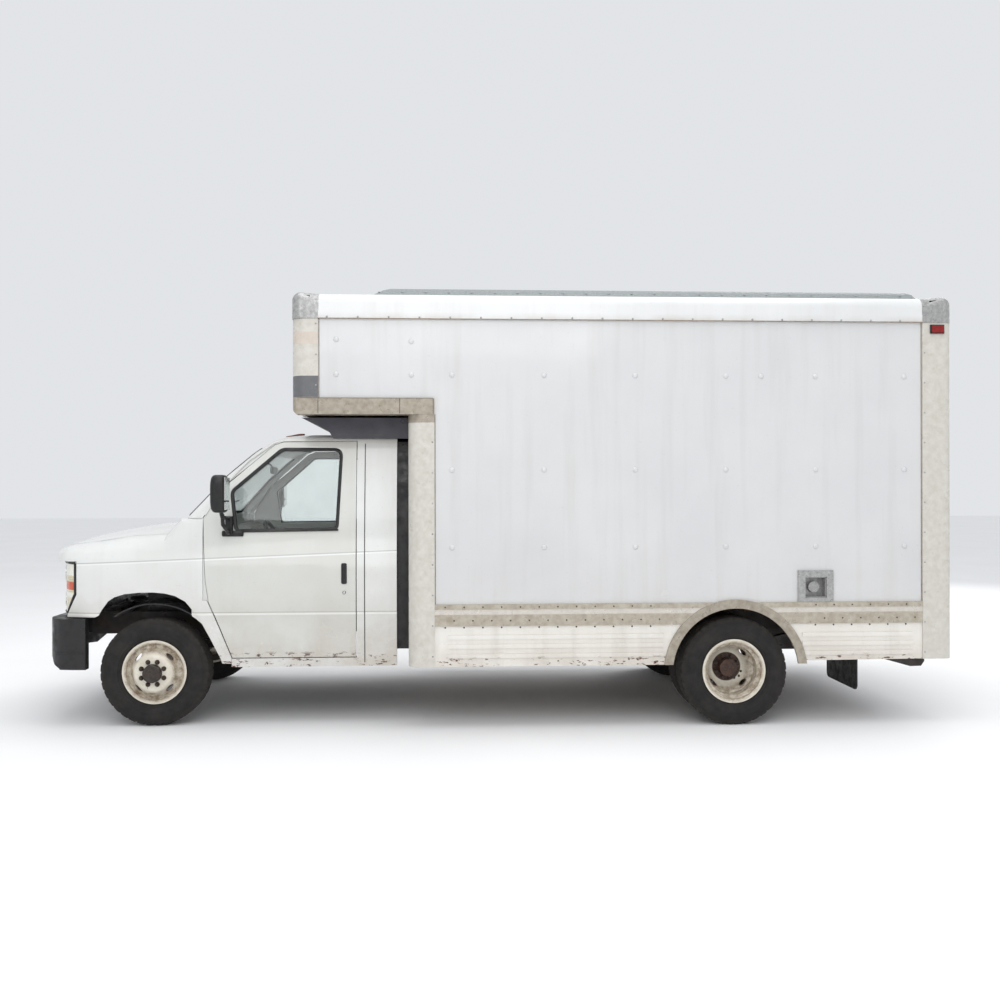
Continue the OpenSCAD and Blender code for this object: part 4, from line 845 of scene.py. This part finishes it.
shape, centre, half = mirror_shape()
made = pair("mirror_housing", shape, plain("mirror_plastic", rgb(14, 14, 15), rgb(20, 20, 21), 30, 0.6), DOORS,
            "black_plastic", angle=60)
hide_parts("mirror_left")
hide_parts("mirror_right")
glass = Shape()
rear = centre.x + half.x * MIRROR_FLAT
for low, high in ((-0.045, 0.108), (-0.108, -0.055)):
    glass.block((rear - 0.004, centre.y - 0.078, centre.z + low),
                (rear + 0.002, centre.y + 0.078, centre.z + high), 0.001)
pair("mirror_glass", glass, CHROME, DOORS, "glass")


# ------------------------------------------------------------ nose
LAMPS = surface("headlamps")


def on_lamp(x, z, out):
    """The point of the left headlamp at x and z, lifted by out."""
    hit = LAMPS((x, -3, z), (0, 1, 0))
    return Vector((x, hit.y - out, z))


LAMP_LOW, LAMP_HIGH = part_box("headlamps")
LAMP_FRONT = LAMP_LOW.x + 0.02
LAMP_REAR = LAMP_HIGH.x - 0.006
LAMP_TOP = LAMP_HIGH.z - 0.007


def across_lamp(z, short, out, steps):
    """A level path over the lamp at height z that ends short of the lamp's rear edge."""
    return [on_lamp(x, z, out) for x in spread(LAMP_FRONT, LAMP_REAR - short, steps)]


bezel = Shape()
bezel.tube(across_lamp(LAMP_TOP, 0, 0.001, 14), 0.009, 8)
edge = [(LAMP_REAR, LAMP_TOP), (LAMP_REAR, 0.917), (LAMP_REAR - 0.074, 0.782)]
bezel.tube([on_lamp(p.x, p.y, 0.001) for p in along([Vector(p) for p in edge], 0.03, closed=False)], 0.01, 8)
bezel.tube(across_lamp(LAMP_LOW.z + 0.006, 0.08, 0.0, 12), 0.007, 8)
pair("lamp_bezel", bezel, BLACK, slot="black_plastic")


def lamp_patch(shape, x0, x1, z0, z1, out):
    """A raised rectangle that follows the lamp's face."""
    levels = ((z0, -0.002), (z0 + 0.001, out), (z1 - 0.001, out), (z1, -0.002))
    shape.rows([[on_lamp(x, z, lift) for x in spread(x0, x1, 10)] for z, lift in levels])
    for x in (x0, x1):
        ends = [on_lamp(x, z, lift) for z in (z0, z1) for lift in (-0.002, out)]
        shape.hull([p + Vector((dx, 0, 0)) for p in ends for dx in (0, 0.001)])


patch = Shape()
lamp_patch(patch, back(-0.652), back(-0.553), 0.942, 0.998, 0.004)
pair("side_reflector", patch, ORANGE, slot="amber_lens")
ribs = Shape()
for low, pitch, count, short, radius in ((0.79, 0.012, 8, 0.075, 0.0022), (1.006, 0.009, 4, 0.012, 0.0018)):
    for k in range(count):
        ribs.tube(across_lamp(low + pitch * k, short, 0.0, 10), radius, 5)
pair("lamp_flutes", ribs, LAMP, slot="lamp")
GRILLE_FRONT = surface("headlamps", "grille", "front_bumper")


def nose_at(y, z):
    """The foremost point of the nose at y and z."""
    return GRILLE_FRONT((-5, y, z), (1, 0, 0))


bowls = Shape()
for y, z, r in ((-0.655, 1.045, 0.062), (-0.655, 0.86, 0.055)):
    bowls.lathe([(r + 0.008, 0.012), (r + 0.006, -0.004), (r, -0.005), (r * 0.96, 0.001), (r * 0.6, -0.002),
                 (r * 0.3, -0.004), (TIP, -0.005)], nose_at(y, z), (1, 0.25, 0), 36)
pair("lamp_bowls", bowls, CHROME, slot="lamp")

grille_bars = Shape()
for z in [0.853 + 0.064 * k for k in range(4)]:
    ys = [-0.49 + 0.049 * j for j in range(21)]
    grille_bars.tube([Vector((nose_at(y, z).x - 0.001, y, z)) for y in ys], 0.006, 6)
frame_path = [(-0.53, 0.785), (0.53, 0.785), (0.53, 1.125), (-0.53, 1.125)]
path = along(rounded(frame_path, 0.05), 0.05)
grille_bars.tube([nose_at(p.x, p.y) + Vector((-0.002, 0, 0)) for p in path], 0.011, 8, closed=True)
piece("grille_bars", grille_bars, plain("grille_grey", rgb(120, 120, 122), rgb(96, 96, 98), 40, 0.45, 0.2),
      slot="black_plastic")
mesh_back = Shape()
for y in [-0.48 + 0.032 * k for k in range(31)]:
    mesh_back.block((back(-0.672), y - 0.003, 0.80), (back(-0.666), y + 0.003, 1.11), 0.001)
piece("grille_slats", mesh_back, BLACK, slot="black_plastic")

MOULDING_Z = 0.513
BUMPER_SIDE = surface("front_bumper")
path = [nose_at(-0.30 - 0.055 * k, MOULDING_Z) + Vector((-0.0005, 0, 0)) for k in range(12)]
for x in (-0.66, -0.62, -0.56, -0.50, -0.462):
    path.append(BUMPER_SIDE((back(x), -3, MOULDING_Z), (0, 1, 0)) + Vector((0, -0.0005, 0)))
bumper_line = Shape()
bumper_line.tube(path, 0.0035, 6)
pair("bumper_moulding", bumper_line, BUMPER, slot="bumper_plastic")
front_plate = Shape()
hit = nose_at(0.0, 0.62)
front_plate.block((hit.x - 0.006, -0.1525, 0.545), (hit.x + 0.004, 0.1525, 0.697), 0.003)
for y in (-0.089, 0.089):
    front_plate.nut((hit.x - 0.005, y, 0.68), (-1, 0, 0), 0.006, 0.004)
PLATE = plain("blank_plate", rgb(214, 214, 208), rgb(196, 196, 190), 30, 0.45, 0.3)
piece("front_blank_plate", front_plate, PLATE, slot="cap_aluminium")
intakes = Shape()
for y in (-0.56, 0.56):
    hit = nose_at(y, 0.60)
    intakes.block((hit.x - 0.002, y - 0.09, 0.56), (hit.x + 0.02, y + 0.09, 0.65), 0.01)
piece("bumper_intakes", intakes, BLACK, slot="black_plastic")


# ------------------------------------------------------------ windshield and wipers
SHIELD = surface("windshield")


def on_shield(y, z, out):
    """The point of the windshield at y and z, lifted by out, or None beside the glass."""
    hit = SHIELD((-5, y, z), (1, 0, 0))
    return hit + Vector((-0.7 * out, 0, 0.7 * out)) if hit else None


SHIELD_LOW, SHIELD_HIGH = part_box("windshield")
RUBBER_R = 0.012
left_edge, right_edge = [], []
for z in spread(SHIELD_LOW.z + RUBBER_R, SHIELD_HIGH.z - RUBBER_R, 12):
    y = 0.0
    while on_shield(y - 0.005, z, 0) is not None and y > -1.1:
        y -= 0.005
    left_edge.append((y + RUBBER_R, z))
    right_edge.append((-y - RUBBER_R, z))
top = [(y, left_edge[-1][1]) for y in spread(left_edge[-1][0], right_edge[-1][0], 16)[1:-1]]
bottom = [(y, left_edge[0][1]) for y in spread(right_edge[0][0], left_edge[0][0], 16)[1:-1]]
loop = left_edge + top + list(reversed(right_edge)) + bottom
border = Shape()
border.tube([on_shield(y, z, 0.002) for y, z in loop], RUBBER_R, 8, closed=True)
piece("windshield_rubber", border, RUBBER, slot="rubber", angle=60)

wipers = Shape()
for start, end, pivot in ((-0.80, -0.16, -0.44), (-0.05, 0.58, 0.30)):
    sweep = zip(spread(start, end, 10), spread(1.475, 1.545, 10))
    blade = [on_shield(y, z, 0.012) for y, z in sweep]
    wipers.tube(blade, 0.006, 6)
    wipers.tube([p + Vector((-0.006, 0, 0.006)) for p in blade[2:9]], 0.004, 6)
    foot = on_shield(pivot, 1.462, 0.006)
    arm_end = blade[5] + Vector((-0.012, 0, 0.012))
    arm = [foot + Vector((0, 0, -0.012)), foot + Vector((-0.02, 0, 0.006)),
           foot.lerp(arm_end, 0.5) + Vector((-0.012, 0, 0.01)), arm_end]
    wipers.tube(arm, [0.012, 0.010, 0.007, 0.006], 8)
piece("wipers", wipers, BLACK, slot="black_plastic")


# ------------------------------------------------------------ rear of the box
FRAME_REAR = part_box("rear_frame")[1].x
DOOR_LOW, DOOR_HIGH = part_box("roll_door")
DOOR_FACE = DOOR_HIGH.x
SLAT = (DOOR_HIGH.z - DOOR_LOW.z) / 5
# Dark strips of painted shadow in the joints between the roll door's slats.
slat_seam_shadows = Shape()
for z in [DOOR_LOW.z + SLAT * k for k in range(1, 5)]:
    slat_seam_shadows.tube([(DOOR_FACE, DOOR_LOW.y + 0.01, z), (DOOR_FACE, DOOR_HIGH.y - 0.01, z)], 0.006, 8, flat=0.6)
piece("door_slat_seam_shadows", slat_seam_shadows, SEAM_SHADOW, slot="rubber")
hardware = Shape()
for z in [DOOR_LOW.z + SLAT * k for k in range(1, 5)]:
    for y in [-0.92 + 0.46 * j for j in range(5)]:
        hardware.block((DOOR_FACE - 0.001, y - 0.03, z - 0.05), (DOOR_FACE + 0.004, y + 0.03, z + 0.05), 0.002)
        hardware.tube([(DOOR_FACE + 0.006, y - 0.03, z), (DOOR_FACE + 0.006, y + 0.03, z)], 0.007, 8)
        for dy in (-0.018, 0.018):
            for dz in (-0.034, 0.034):
                hardware.dome((DOOR_FACE + 0.004, y + dy, z + dz), REARWARD, 0.005, 0.003, 10)
hardware.block((DOOR_FACE - 0.001, -0.15, DOOR_LOW.z + 0.02), (DOOR_FACE + 0.004, 0.05, DOOR_LOW.z + 0.19),
               0.003)
latch = ((0.008, 0.16), (0.02, 0.14), (0.022, 0.05), (0.012, 0.03))
hardware.tube([(DOOR_FACE + out, -0.05, DOOR_LOW.z + up) for out, up in latch], 0.008, 8)
handle_z = DOOR_LOW.z + 0.24
for y in (-0.35, 0.35):
    grip = ((0, -0.09), (0.03, -0.09), (0.03, 0.09), (0, 0.09))
    hardware.tube([(DOOR_FACE + out, y + dy, handle_z) for out, dy in grip], 0.007, 8)
for y in (-1.075, 1.075):
    rail = ((0, 1.15), (0.012, 1.16), (0.012, 1.54), (0, 1.55))
    hardware.tube([(FRAME_REAR + out, y, z) for out, z in rail], 0.008, 8)
piece("rear_door_hardware", hardware, CAP, slot="cap_aluminium")
rivets = Shape()
for k in range(5):
    for z in (DOOR_LOW.z + SLAT * k + 0.1, DOOR_LOW.z + SLAT * k + SLAT - 0.1):
        for j in range(12):
            rivets.dome((DOOR_FACE, -0.99 + 0.18 * j, z), REARWARD, 0.006, 0.003, 10)
for j in range(9):
    rivets.dome((FRAME_REAR, -1.0 + 0.25 * j, DOOR_HIGH.z + 0.05), REARWARD, 0.007, 0.004, 10)
    for y in (-1.1, 1.1):
        rivets.dome((FRAME_REAR, y, 0.9 + 0.2 * j), REARWARD, 0.007, 0.004, 10)
piece("rear_rivets", rivets, PANEL, slot="box_paint")
plate = Shape()
plate.block((FRAME_REAR + 0.0005, -0.7725, 0.646), (FRAME_REAR + 0.003, -0.4675, 0.798), 0.001)
for y in (-0.709, -0.531):
    plate.nut((FRAME_REAR + 0.003, y, 0.780), REARWARD, 0.006, 0.004)
piece("rear_blank_plate", plate, PLATE, slot="cap_aluminium")

LAMP_Z = 0.781
STOP_Y, TURN_Y, REVERSING_Y = 0.967, 0.86, 0.78


def rear_lamps(name, ys, profile, foot, material, slot):
    """One kind of round lamp on the rear frame, turned from a (radius, out) profile."""
    lamps = Shape()
    for y in ys:
        lamps.lathe(profile, (FRAME_REAR + foot, y, LAMP_Z), REARWARD, 32)
    piece(name, lamps, material, slot=slot)


rear_lamps("stop_lamps", (-STOP_Y, STOP_Y), [(0.043, 0), (0.043, 0.010), (0.036, 0.013), (TIP, 0.015)], 0.001,
           RED, "red_lens")
rear_lamps("turn_lamps", (-TURN_Y, TURN_Y), [(0.034, 0), (0.034, 0.008), (0.028, 0.011), (TIP, 0.012)], 0,
           ORANGE, "amber_lens")
rear_lamps("reversing_lamp", (REVERSING_Y,), [(0.030, 0), (0.030, 0.007), (0.024, 0.010), (TIP, 0.011)], 0,
           LAMP, "lamp")
rims = Shape()
for y, r in ((-STOP_Y, 0.046), (STOP_Y, 0.046), (-TURN_Y, 0.037), (TURN_Y, 0.037), (REVERSING_Y, 0.033)):
    rims.lathe([(r + 0.007, 0), (r + 0.006, 0.009), (r, 0.011), (r - 0.002, 0.004)], (FRAME_REAR, y, LAMP_Z),
               REARWARD, 32)
piece("lamp_rims", rims, CHROME, slot="cap_aluminium")
STEP_LOW, STEP_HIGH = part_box("rear_bumper")
tread = Shape()
for j, y in enumerate([-0.95 + 1.9 * j / 39 for j in range(40)]):
    for k in range(4):
        x = STEP_LOW.x + 0.05 + 0.07 * k
        turn = Matrix.Rotation(math.radians(45 if (j + k) % 2 else -45), 3, "Z")
        tread.block((x - 0.011, y - 0.003, STEP_HIGH.z - 0.001), (x + 0.011, y + 0.003, STEP_HIGH.z + 0.002),
                    0.0015, turn)
piece("step_tread", tread, CHASSIS, slot="chassis")
MARK_X0, MARK_X1 = REAR_X - 0.156, REAR_X - 0.071
MARK_Z0, MARK_Z1 = 2.713, 2.774
MARK_EDGE = 0.006
side_marker = Shape()
for x0, x1, z0, z1 in ((MARK_X0 - MARK_EDGE, MARK_X1 + MARK_EDGE, MARK_Z0, MARK_Z0 + 0.007),
                       (MARK_X0 - MARK_EDGE, MARK_X1 + MARK_EDGE, MARK_Z1 - 0.007, MARK_Z1),
                       (MARK_X0 - MARK_EDGE, MARK_X0 + 0.001, MARK_Z0, MARK_Z1),
                       (MARK_X1 - 0.001, MARK_X1 + MARK_EDGE, MARK_Z0, MARK_Z1)):
    side_marker.block((x0, -BOX_HALF - 0.012, z0), (x1, -BOX_HALF + 0.003, z1), 0.001)
pair("marker_frame", side_marker, BLACK, slot="black_plastic")


# ------------------------------------------------------------ roof
ROOF_TOP = surface("roof")
BOW_COUNT = 13
first_bow = back(1.523) + 0.30
bow_pitch = (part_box("roof")[1].x - back(1.523) - 0.75) / (BOW_COUNT - 1)


def on_roof(x, y):
    """The roof's top at x and y, or None beside the roof."""
    return ROOF_TOP((x, y, 5), (0, 0, -1))


bows = Shape()
for x in [first_bow + bow_pitch * k for k in range(BOW_COUNT)]:
    ys = [-0.90 + 0.09 * j for j in range(21)]
    bows.tube([Vector((x, y, on_roof(x, y).z - 0.001)) for y in ys], 0.006, 6)
piece("roof_ribs", bows, ROOF, slot="roof_sheet")
rivets = Shape()
for y in (-1.06, 1.06):
    for x in [back(1.56) + 0.16 * k for k in range(24)]:
        hit = on_roof(x, y)
        if hit:
            rivets.dome(hit, (0, 0, 1), 0.008, 0.004, 10)
piece("roof_rivets", rivets, CAP, slot="cap_aluminium")


# ------------------------------------------------------------ cab interior
SEAT_FOOT_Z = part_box("seats")[0].z
SEAT_Y = -0.42
SEAT_X = back(1.12)
CUSHION_Z = 1.0


def pad_shape(outline_half, thick, centre, turn, crown):
    """A closed cushion of rounded plan, thicker in its middle, ready to be puffed out."""
    hx, hy = outline_half
    n, rings = 48, 7
    rows = []
    for side in (-1, 1):
        order = range(rings) if side < 0 else range(rings - 1, -1, -1)
        for t in [(r + 1) / rings for r in order]:
            fall = 1 - t ** 4
            height = side * (thick * (0.62 + 0.38 * fall) + crown * fall)
            row = []
            for a in [2 * math.pi * k / n for k in range(n)]:
                px = bulge(math.cos(a), 0.45) * hx * t
                py = bulge(math.sin(a), 0.45) * hy * t
                row.append(centre + turn @ Vector((px, py, height)))
            rows.append(row)
    return Shape().rows(rows, close_columns=True, caps=True)


def soften(shape, name, pressure):
    """Puffs the cushion out a little as cloth held at its seams, and returns the settled shape."""
    mesh = bpy.data.meshes.new(name + "_raw")
    mesh.from_pydata([tuple(p) for p in shape.points], [], shape.faces)
    work = bmesh.new()
    work.from_mesh(mesh)
    bmesh.ops.recalc_face_normals(work, faces=work.faces)
    work.to_mesh(mesh)
    work.free()
    raw = bpy.data.objects.new(name + "_raw", mesh)
    bpy.context.scene.collection.objects.link(raw)
    voxel = raw.modifiers.new("even", "REMESH")
    voxel.mode, voxel.voxel_size = "VOXEL", 0.014
    bpy.context.view_layer.update()
    even = bpy.data.meshes.new_from_object(raw.evaluated_get(bpy.context.evaluated_depsgraph_get()))
    bpy.data.objects.remove(raw)
    soft = bpy.data.objects.new(name + "_soft", even)
    bpy.context.scene.collection.objects.link(soft)
    middle_point = sum((v.co for v in even.vertices), Vector()) / len(even.vertices)
    held = soft.vertex_groups.new(name="held")
    reach = max((v.co - middle_point).length for v in even.vertices)
    rim = [v.index for v in even.vertices if (v.co - middle_point).length > reach * 0.93]
    held.add(rim, 0.6, "REPLACE")
    cloth = soft.modifiers.new("cloth", "CLOTH")
    cloth.settings.quality = 5
    cloth.settings.mass = 0.4
    cloth.settings.tension_stiffness = cloth.settings.compression_stiffness = 25
    cloth.settings.bending_stiffness = 4
    cloth.settings.use_pressure = True
    cloth.settings.uniform_pressure_force = pressure
    cloth.settings.vertex_group_mass = "held"
    cloth.settings.effector_weights.gravity = 0
    cloth.collision_settings.use_collision = False
    cloth.point_cache.frame_start, cloth.point_cache.frame_end = 1, 20
    before = [v.co.copy() for v in even.vertices]
    for number in range(1, 21):
        bpy.context.scene.frame_set(number)
    settled = soft.evaluated_get(bpy.context.evaluated_depsgraph_get())
    for v, old, new in zip(even.vertices, before, [v.co.copy() for v in settled.data.vertices]):
        step = new - old
        v.co = old + (step if step.length < 0.012 else step.normalized() * 0.012)
    soft.modifiers.remove(cloth)
    bpy.context.scene.frame_set(1)
    bpy.data.objects.remove(soft)
    result = Shape()
    result.points = [v.co.copy() for v in even.vertices]
    result.faces = [list(p.vertices) for p in even.polygons]
    return result


LEVEL = Matrix.Identity(3)
LEAN = Matrix.Rotation(math.radians(-80), 3, "Y")
HEAD_LEAN = Matrix.Rotation(math.radians(-83), 3, "Y")
PADS = (("seat_cushion", (0.24, 0.235), 0.042, Vector((SEAT_X, SEAT_Y, CUSHION_Z)), LEVEL, 0.012),
        ("seat_back", (0.30, 0.225), 0.040, Vector((SEAT_X + 0.285, SEAT_Y, CUSHION_Z + 0.34)), LEAN, 0.012),
        ("seat_headrest", (0.085, 0.125), 0.034, Vector((SEAT_X + 0.36, SEAT_Y, CUSHION_Z + 0.71)), HEAD_LEAN,
         0.006))
pads = []
for name, half_size, thick, centre, turn, crown in PADS:
    soft = soften(pad_shape(half_size, thick, centre, turn, crown), name, 4.0)
    for made in pair(name, soft, CLOTH, slot="seat_cloth", angle=180, smooth_levels=1):
        pads.append(made)
for made in pads:
    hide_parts("seats")

seat_steel = Shape()
seat_steel.block((SEAT_X - 0.17, SEAT_Y - 0.17, SEAT_FOOT_Z),
                 (SEAT_X + 0.17, SEAT_Y + 0.17, CUSHION_Z - 0.045), 0.02)
for y in (SEAT_Y - 0.19, SEAT_Y + 0.19):
    seat_steel.block((SEAT_X - 0.21, y - 0.014, SEAT_FOOT_Z + 0.002),
                     (SEAT_X + 0.23, y + 0.014, SEAT_FOOT_Z + 0.03), 0.004)
    seat_steel.tube([(SEAT_X + 0.20, y, CUSHION_Z - 0.06), (SEAT_X + 0.26, y, CUSHION_Z + 0.1)], 0.014, 8)
for y in (SEAT_Y - 0.06, SEAT_Y + 0.06):
    seat_steel.tube([(SEAT_X + 0.335, y, CUSHION_Z + 0.58), (SEAT_X + 0.35, y, CUSHION_Z + 0.66)], 0.006, 8)
pair("seat_base", seat_steel, TRIM, slot="interior_plastic")

BELT_Y = -0.86
BELT_SECTION = ((-0.023, -0.001), (0.023, -0.001), (0.023, 0.001), (-0.023, 0.001))
belt = Shape()
rows = []
for dx, z in ((0.42, 1.62), (0.41, 1.35), (0.40, 1.1), (0.40, 0.85)):
    rows.append([Vector((SEAT_X + dx, BELT_Y, z)) + Vector((across, out, 0)) for across, out in BELT_SECTION])
belt.rows(rows, close_columns=True, caps=True)
belt.block((SEAT_X + 0.385, BELT_Y - 0.012, 1.60), (SEAT_X + 0.455, BELT_Y + 0.012, 1.66), 0.005)
pair("seat_belt", belt, plain("belt_webbing", rgb(60, 58, 55), rgb(44, 43, 41), 220, 0.9), slot="seat_cloth")

DASH_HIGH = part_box("dashboard")[1]
DASH = surface("dashboard")


def on_dash(y, drop):
    """The dashboard's rear face at y, that far under its top, or None beside it."""
    return DASH((DASH_HIGH.x + 0.5, y, DASH_HIGH.z - drop), (-1, 0, 0))


dash_bits = Shape()
for y in (-0.72, -0.05, 0.1, 0.72):
    hit = on_dash(y, 0.12)
    if hit:
        for z in [DASH_HIGH.z - 0.15 + 0.014 * k for k in range(5)]:
            dash_bits.block((hit.x - 0.004, y - 0.05, z), (hit.x + 0.003, y + 0.05, z + 0.006), 0.001)
for y, r in ((-0.60, 0.05), (-0.47, 0.055), (-0.34, 0.05)):
    hit = on_dash(y, 0.07)
    if hit:
        dash_bits.lathe([(r + 0.004, -0.003), (r + 0.003, 0.006), (r, 0.007), (r - 0.003, 0.001),
                         (TIP, 0.0005)], hit, (1, 0, 0.2), 28)
for y in (-0.075, 0.0, 0.075):
    hit = on_dash(y, 0.24)
    if hit:
        dash_bits.lathe([(0.02, -0.002), (0.018, 0.016), (0.012, 0.019), (TIP, 0.019)], hit, REARWARD, 20)
hit = on_dash(0.5, 0.2)
if hit:
    dash_bits.block((hit.x - 0.003, 0.33, DASH_HIGH.z - 0.30), (hit.x + 0.003, 0.70, DASH_HIGH.z - 0.17), 0.002)
    dash_bits.block((hit.x + 0.001, 0.49, DASH_HIGH.z - 0.20), (hit.x + 0.009, 0.54, DASH_HIGH.z - 0.185),
                    0.002)
piece("dashboard_details", dash_bits, BLACK, slot="black_plastic")

pedals = Shape()
for y, z in ((-0.36, 0.86), (-0.50, 0.88)):
    pedals.block((DASH_HIGH.x - 0.11, y - 0.03, z - 0.03), (DASH_HIGH.x - 0.095, y + 0.03, z + 0.03), 0.004)
    arm = ((0.11, 0), (0.18, 0.10), (0.20, 0.22))
    pedals.tube([(DASH_HIGH.x - ahead, y, z + up) for ahead, up in arm], 0.008, 8)
piece("pedals", pedals, BLACK, slot="black_plastic")

cards = Shape()
DOOR_INSIDE = surface("door_left")
door_in = min(DOOR_INSIDE((back(0.9), 0, z), (0, -1, 0)).y for z in (0.6, 0.9, 1.2))
# Each raised panel of the door's inside: (first x, last x, low z, high z, how far it stands in).
CARD_PANELS = ((0.50, 1.24, 0.56, 1.28, 0.012), (0.64, 1.16, 0.98, 1.06, 0.05), (0.54, 1.20, 0.60, 0.72, 0.032))
for x0, x1, z0, z1, out in CARD_PANELS:
    cards.block((back(x0), door_in - 0.02, z0), (back(x1), door_in + out, z1), 0.01)
cards.tube([(back(0.74), door_in + 0.005, 1.14), (back(0.76), door_in + 0.03, 1.15),
            (back(0.86), door_in + 0.03, 1.15)], 0.009, 8)
pair("door_card", cards, TRIM, DOORS, "interior_plastic")

inside_mirror = Shape()
hit = on_shield(0.0, 1.86, -0.006)
if hit:
    stem = [hit + Vector(step) for step in ((0.008, 0, 0), (0.06, 0, -0.02), (0.085, 0, -0.05))]
    inside_mirror.tube(stem, 0.007, 8)
    inside_mirror.block((hit.x + 0.075, -0.115, hit.z - 0.095), (hit.x + 0.1, 0.115, hit.z - 0.035), 0.01)
    piece("interior_mirror", inside_mirror, BLACK, slot="black_plastic")


# ------------------------------------------------------------ underbody
SPRING_Y = -0.54
under = Shape()
for x in (REAR_WHEEL.x - 0.052, REAR_WHEEL.x + 0.052):
    for y in (SPRING_Y - 0.045, SPRING_Y + 0.045):
        under.tube([(x, y, 0.30), (x, y, 0.47)], 0.008, 8)
        under.nut((x, y, 0.30), (0, 0, -1), 0.012, 0.01)
pair("springs_bolts", under, STEEL, slot="steel")


# ------------------------------------------------------------ studio
def studio():
    """An even white room with three soft lights."""
    scene = bpy.context.scene
    scene.view_settings.view_transform = "Standard"
    world = bpy.data.worlds.new("studio")
    world.use_nodes = True
    world.node_tree.nodes["Background"].inputs["Color"].default_value = (0.95, 0.97, 1.0, 1)
    world.node_tree.nodes["Background"].inputs["Strength"].default_value = 0.80
    scene.world = world
    floor = bpy.data.meshes.new("floor")
    size = 60
    corners = [(-size, -size, 0), (size, -size, 0), (size, size, 0), (-size, size, 0)]
    floor.from_pydata(corners, [], [(0, 1, 2, 3)])
    ground = bpy.data.objects.new("floor", floor)
    f = Finish("studio_floor", 0.9)
    f.colour(f.mix(f.band(f.noise(0.6, 3), 0.3, 0.7), (0.90, 0.90, 0.90, 1), (0.93, 0.93, 0.93, 1)))
    floor.materials.append(f.material)
    scene.collection.objects.link(ground)
    for name, place, target, size, power in (
            ("key", (-1, -10, 7), (0, 0, 1.2), 7, 300),
            ("top", (0.5, -1, 8.5), (0.5, 0, 1), 8, 330),
            ("back", (7, 8, 6), (0, 0, 1.2), 7, 300)):
        lamp = bpy.data.lights.new(name, "AREA")
        lamp.energy, lamp.size = power, size
        holder = bpy.data.objects.new(name, lamp)
        holder.location = place
        holder.rotation_euler = (Vector(target) - Vector(place)).to_track_quat("-Z", "Y").to_euler()
        scene.collection.objects.link(holder)


def camera():
    """The eye stands 2.02 m behind the front axle, well out to the left, and turns a little to the rear."""
    lens = bpy.data.cameras.new("camera")
    lens.lens, lens.sensor_width = 37.08, 36
    eye = bpy.data.objects.new("camera", lens)
    eye.location = (back(2.02), -8.219, 1.61)
    look = Vector((math.sin(math.radians(3.0)), math.cos(math.radians(3.0)), 0))
    turn = look.to_track_quat("-Z", "Y").to_matrix().to_4x4()
    eye.matrix_world = Matrix.Translation(eye.location) @ turn @ Matrix.Rotation(math.radians(-0.1), 4, "Z")
    lens.shift_y = -0.007
    bpy.context.scene.collection.objects.link(eye)
    bpy.context.scene.camera = eye


studio()
camera()
bpy.context.view_layer.update()
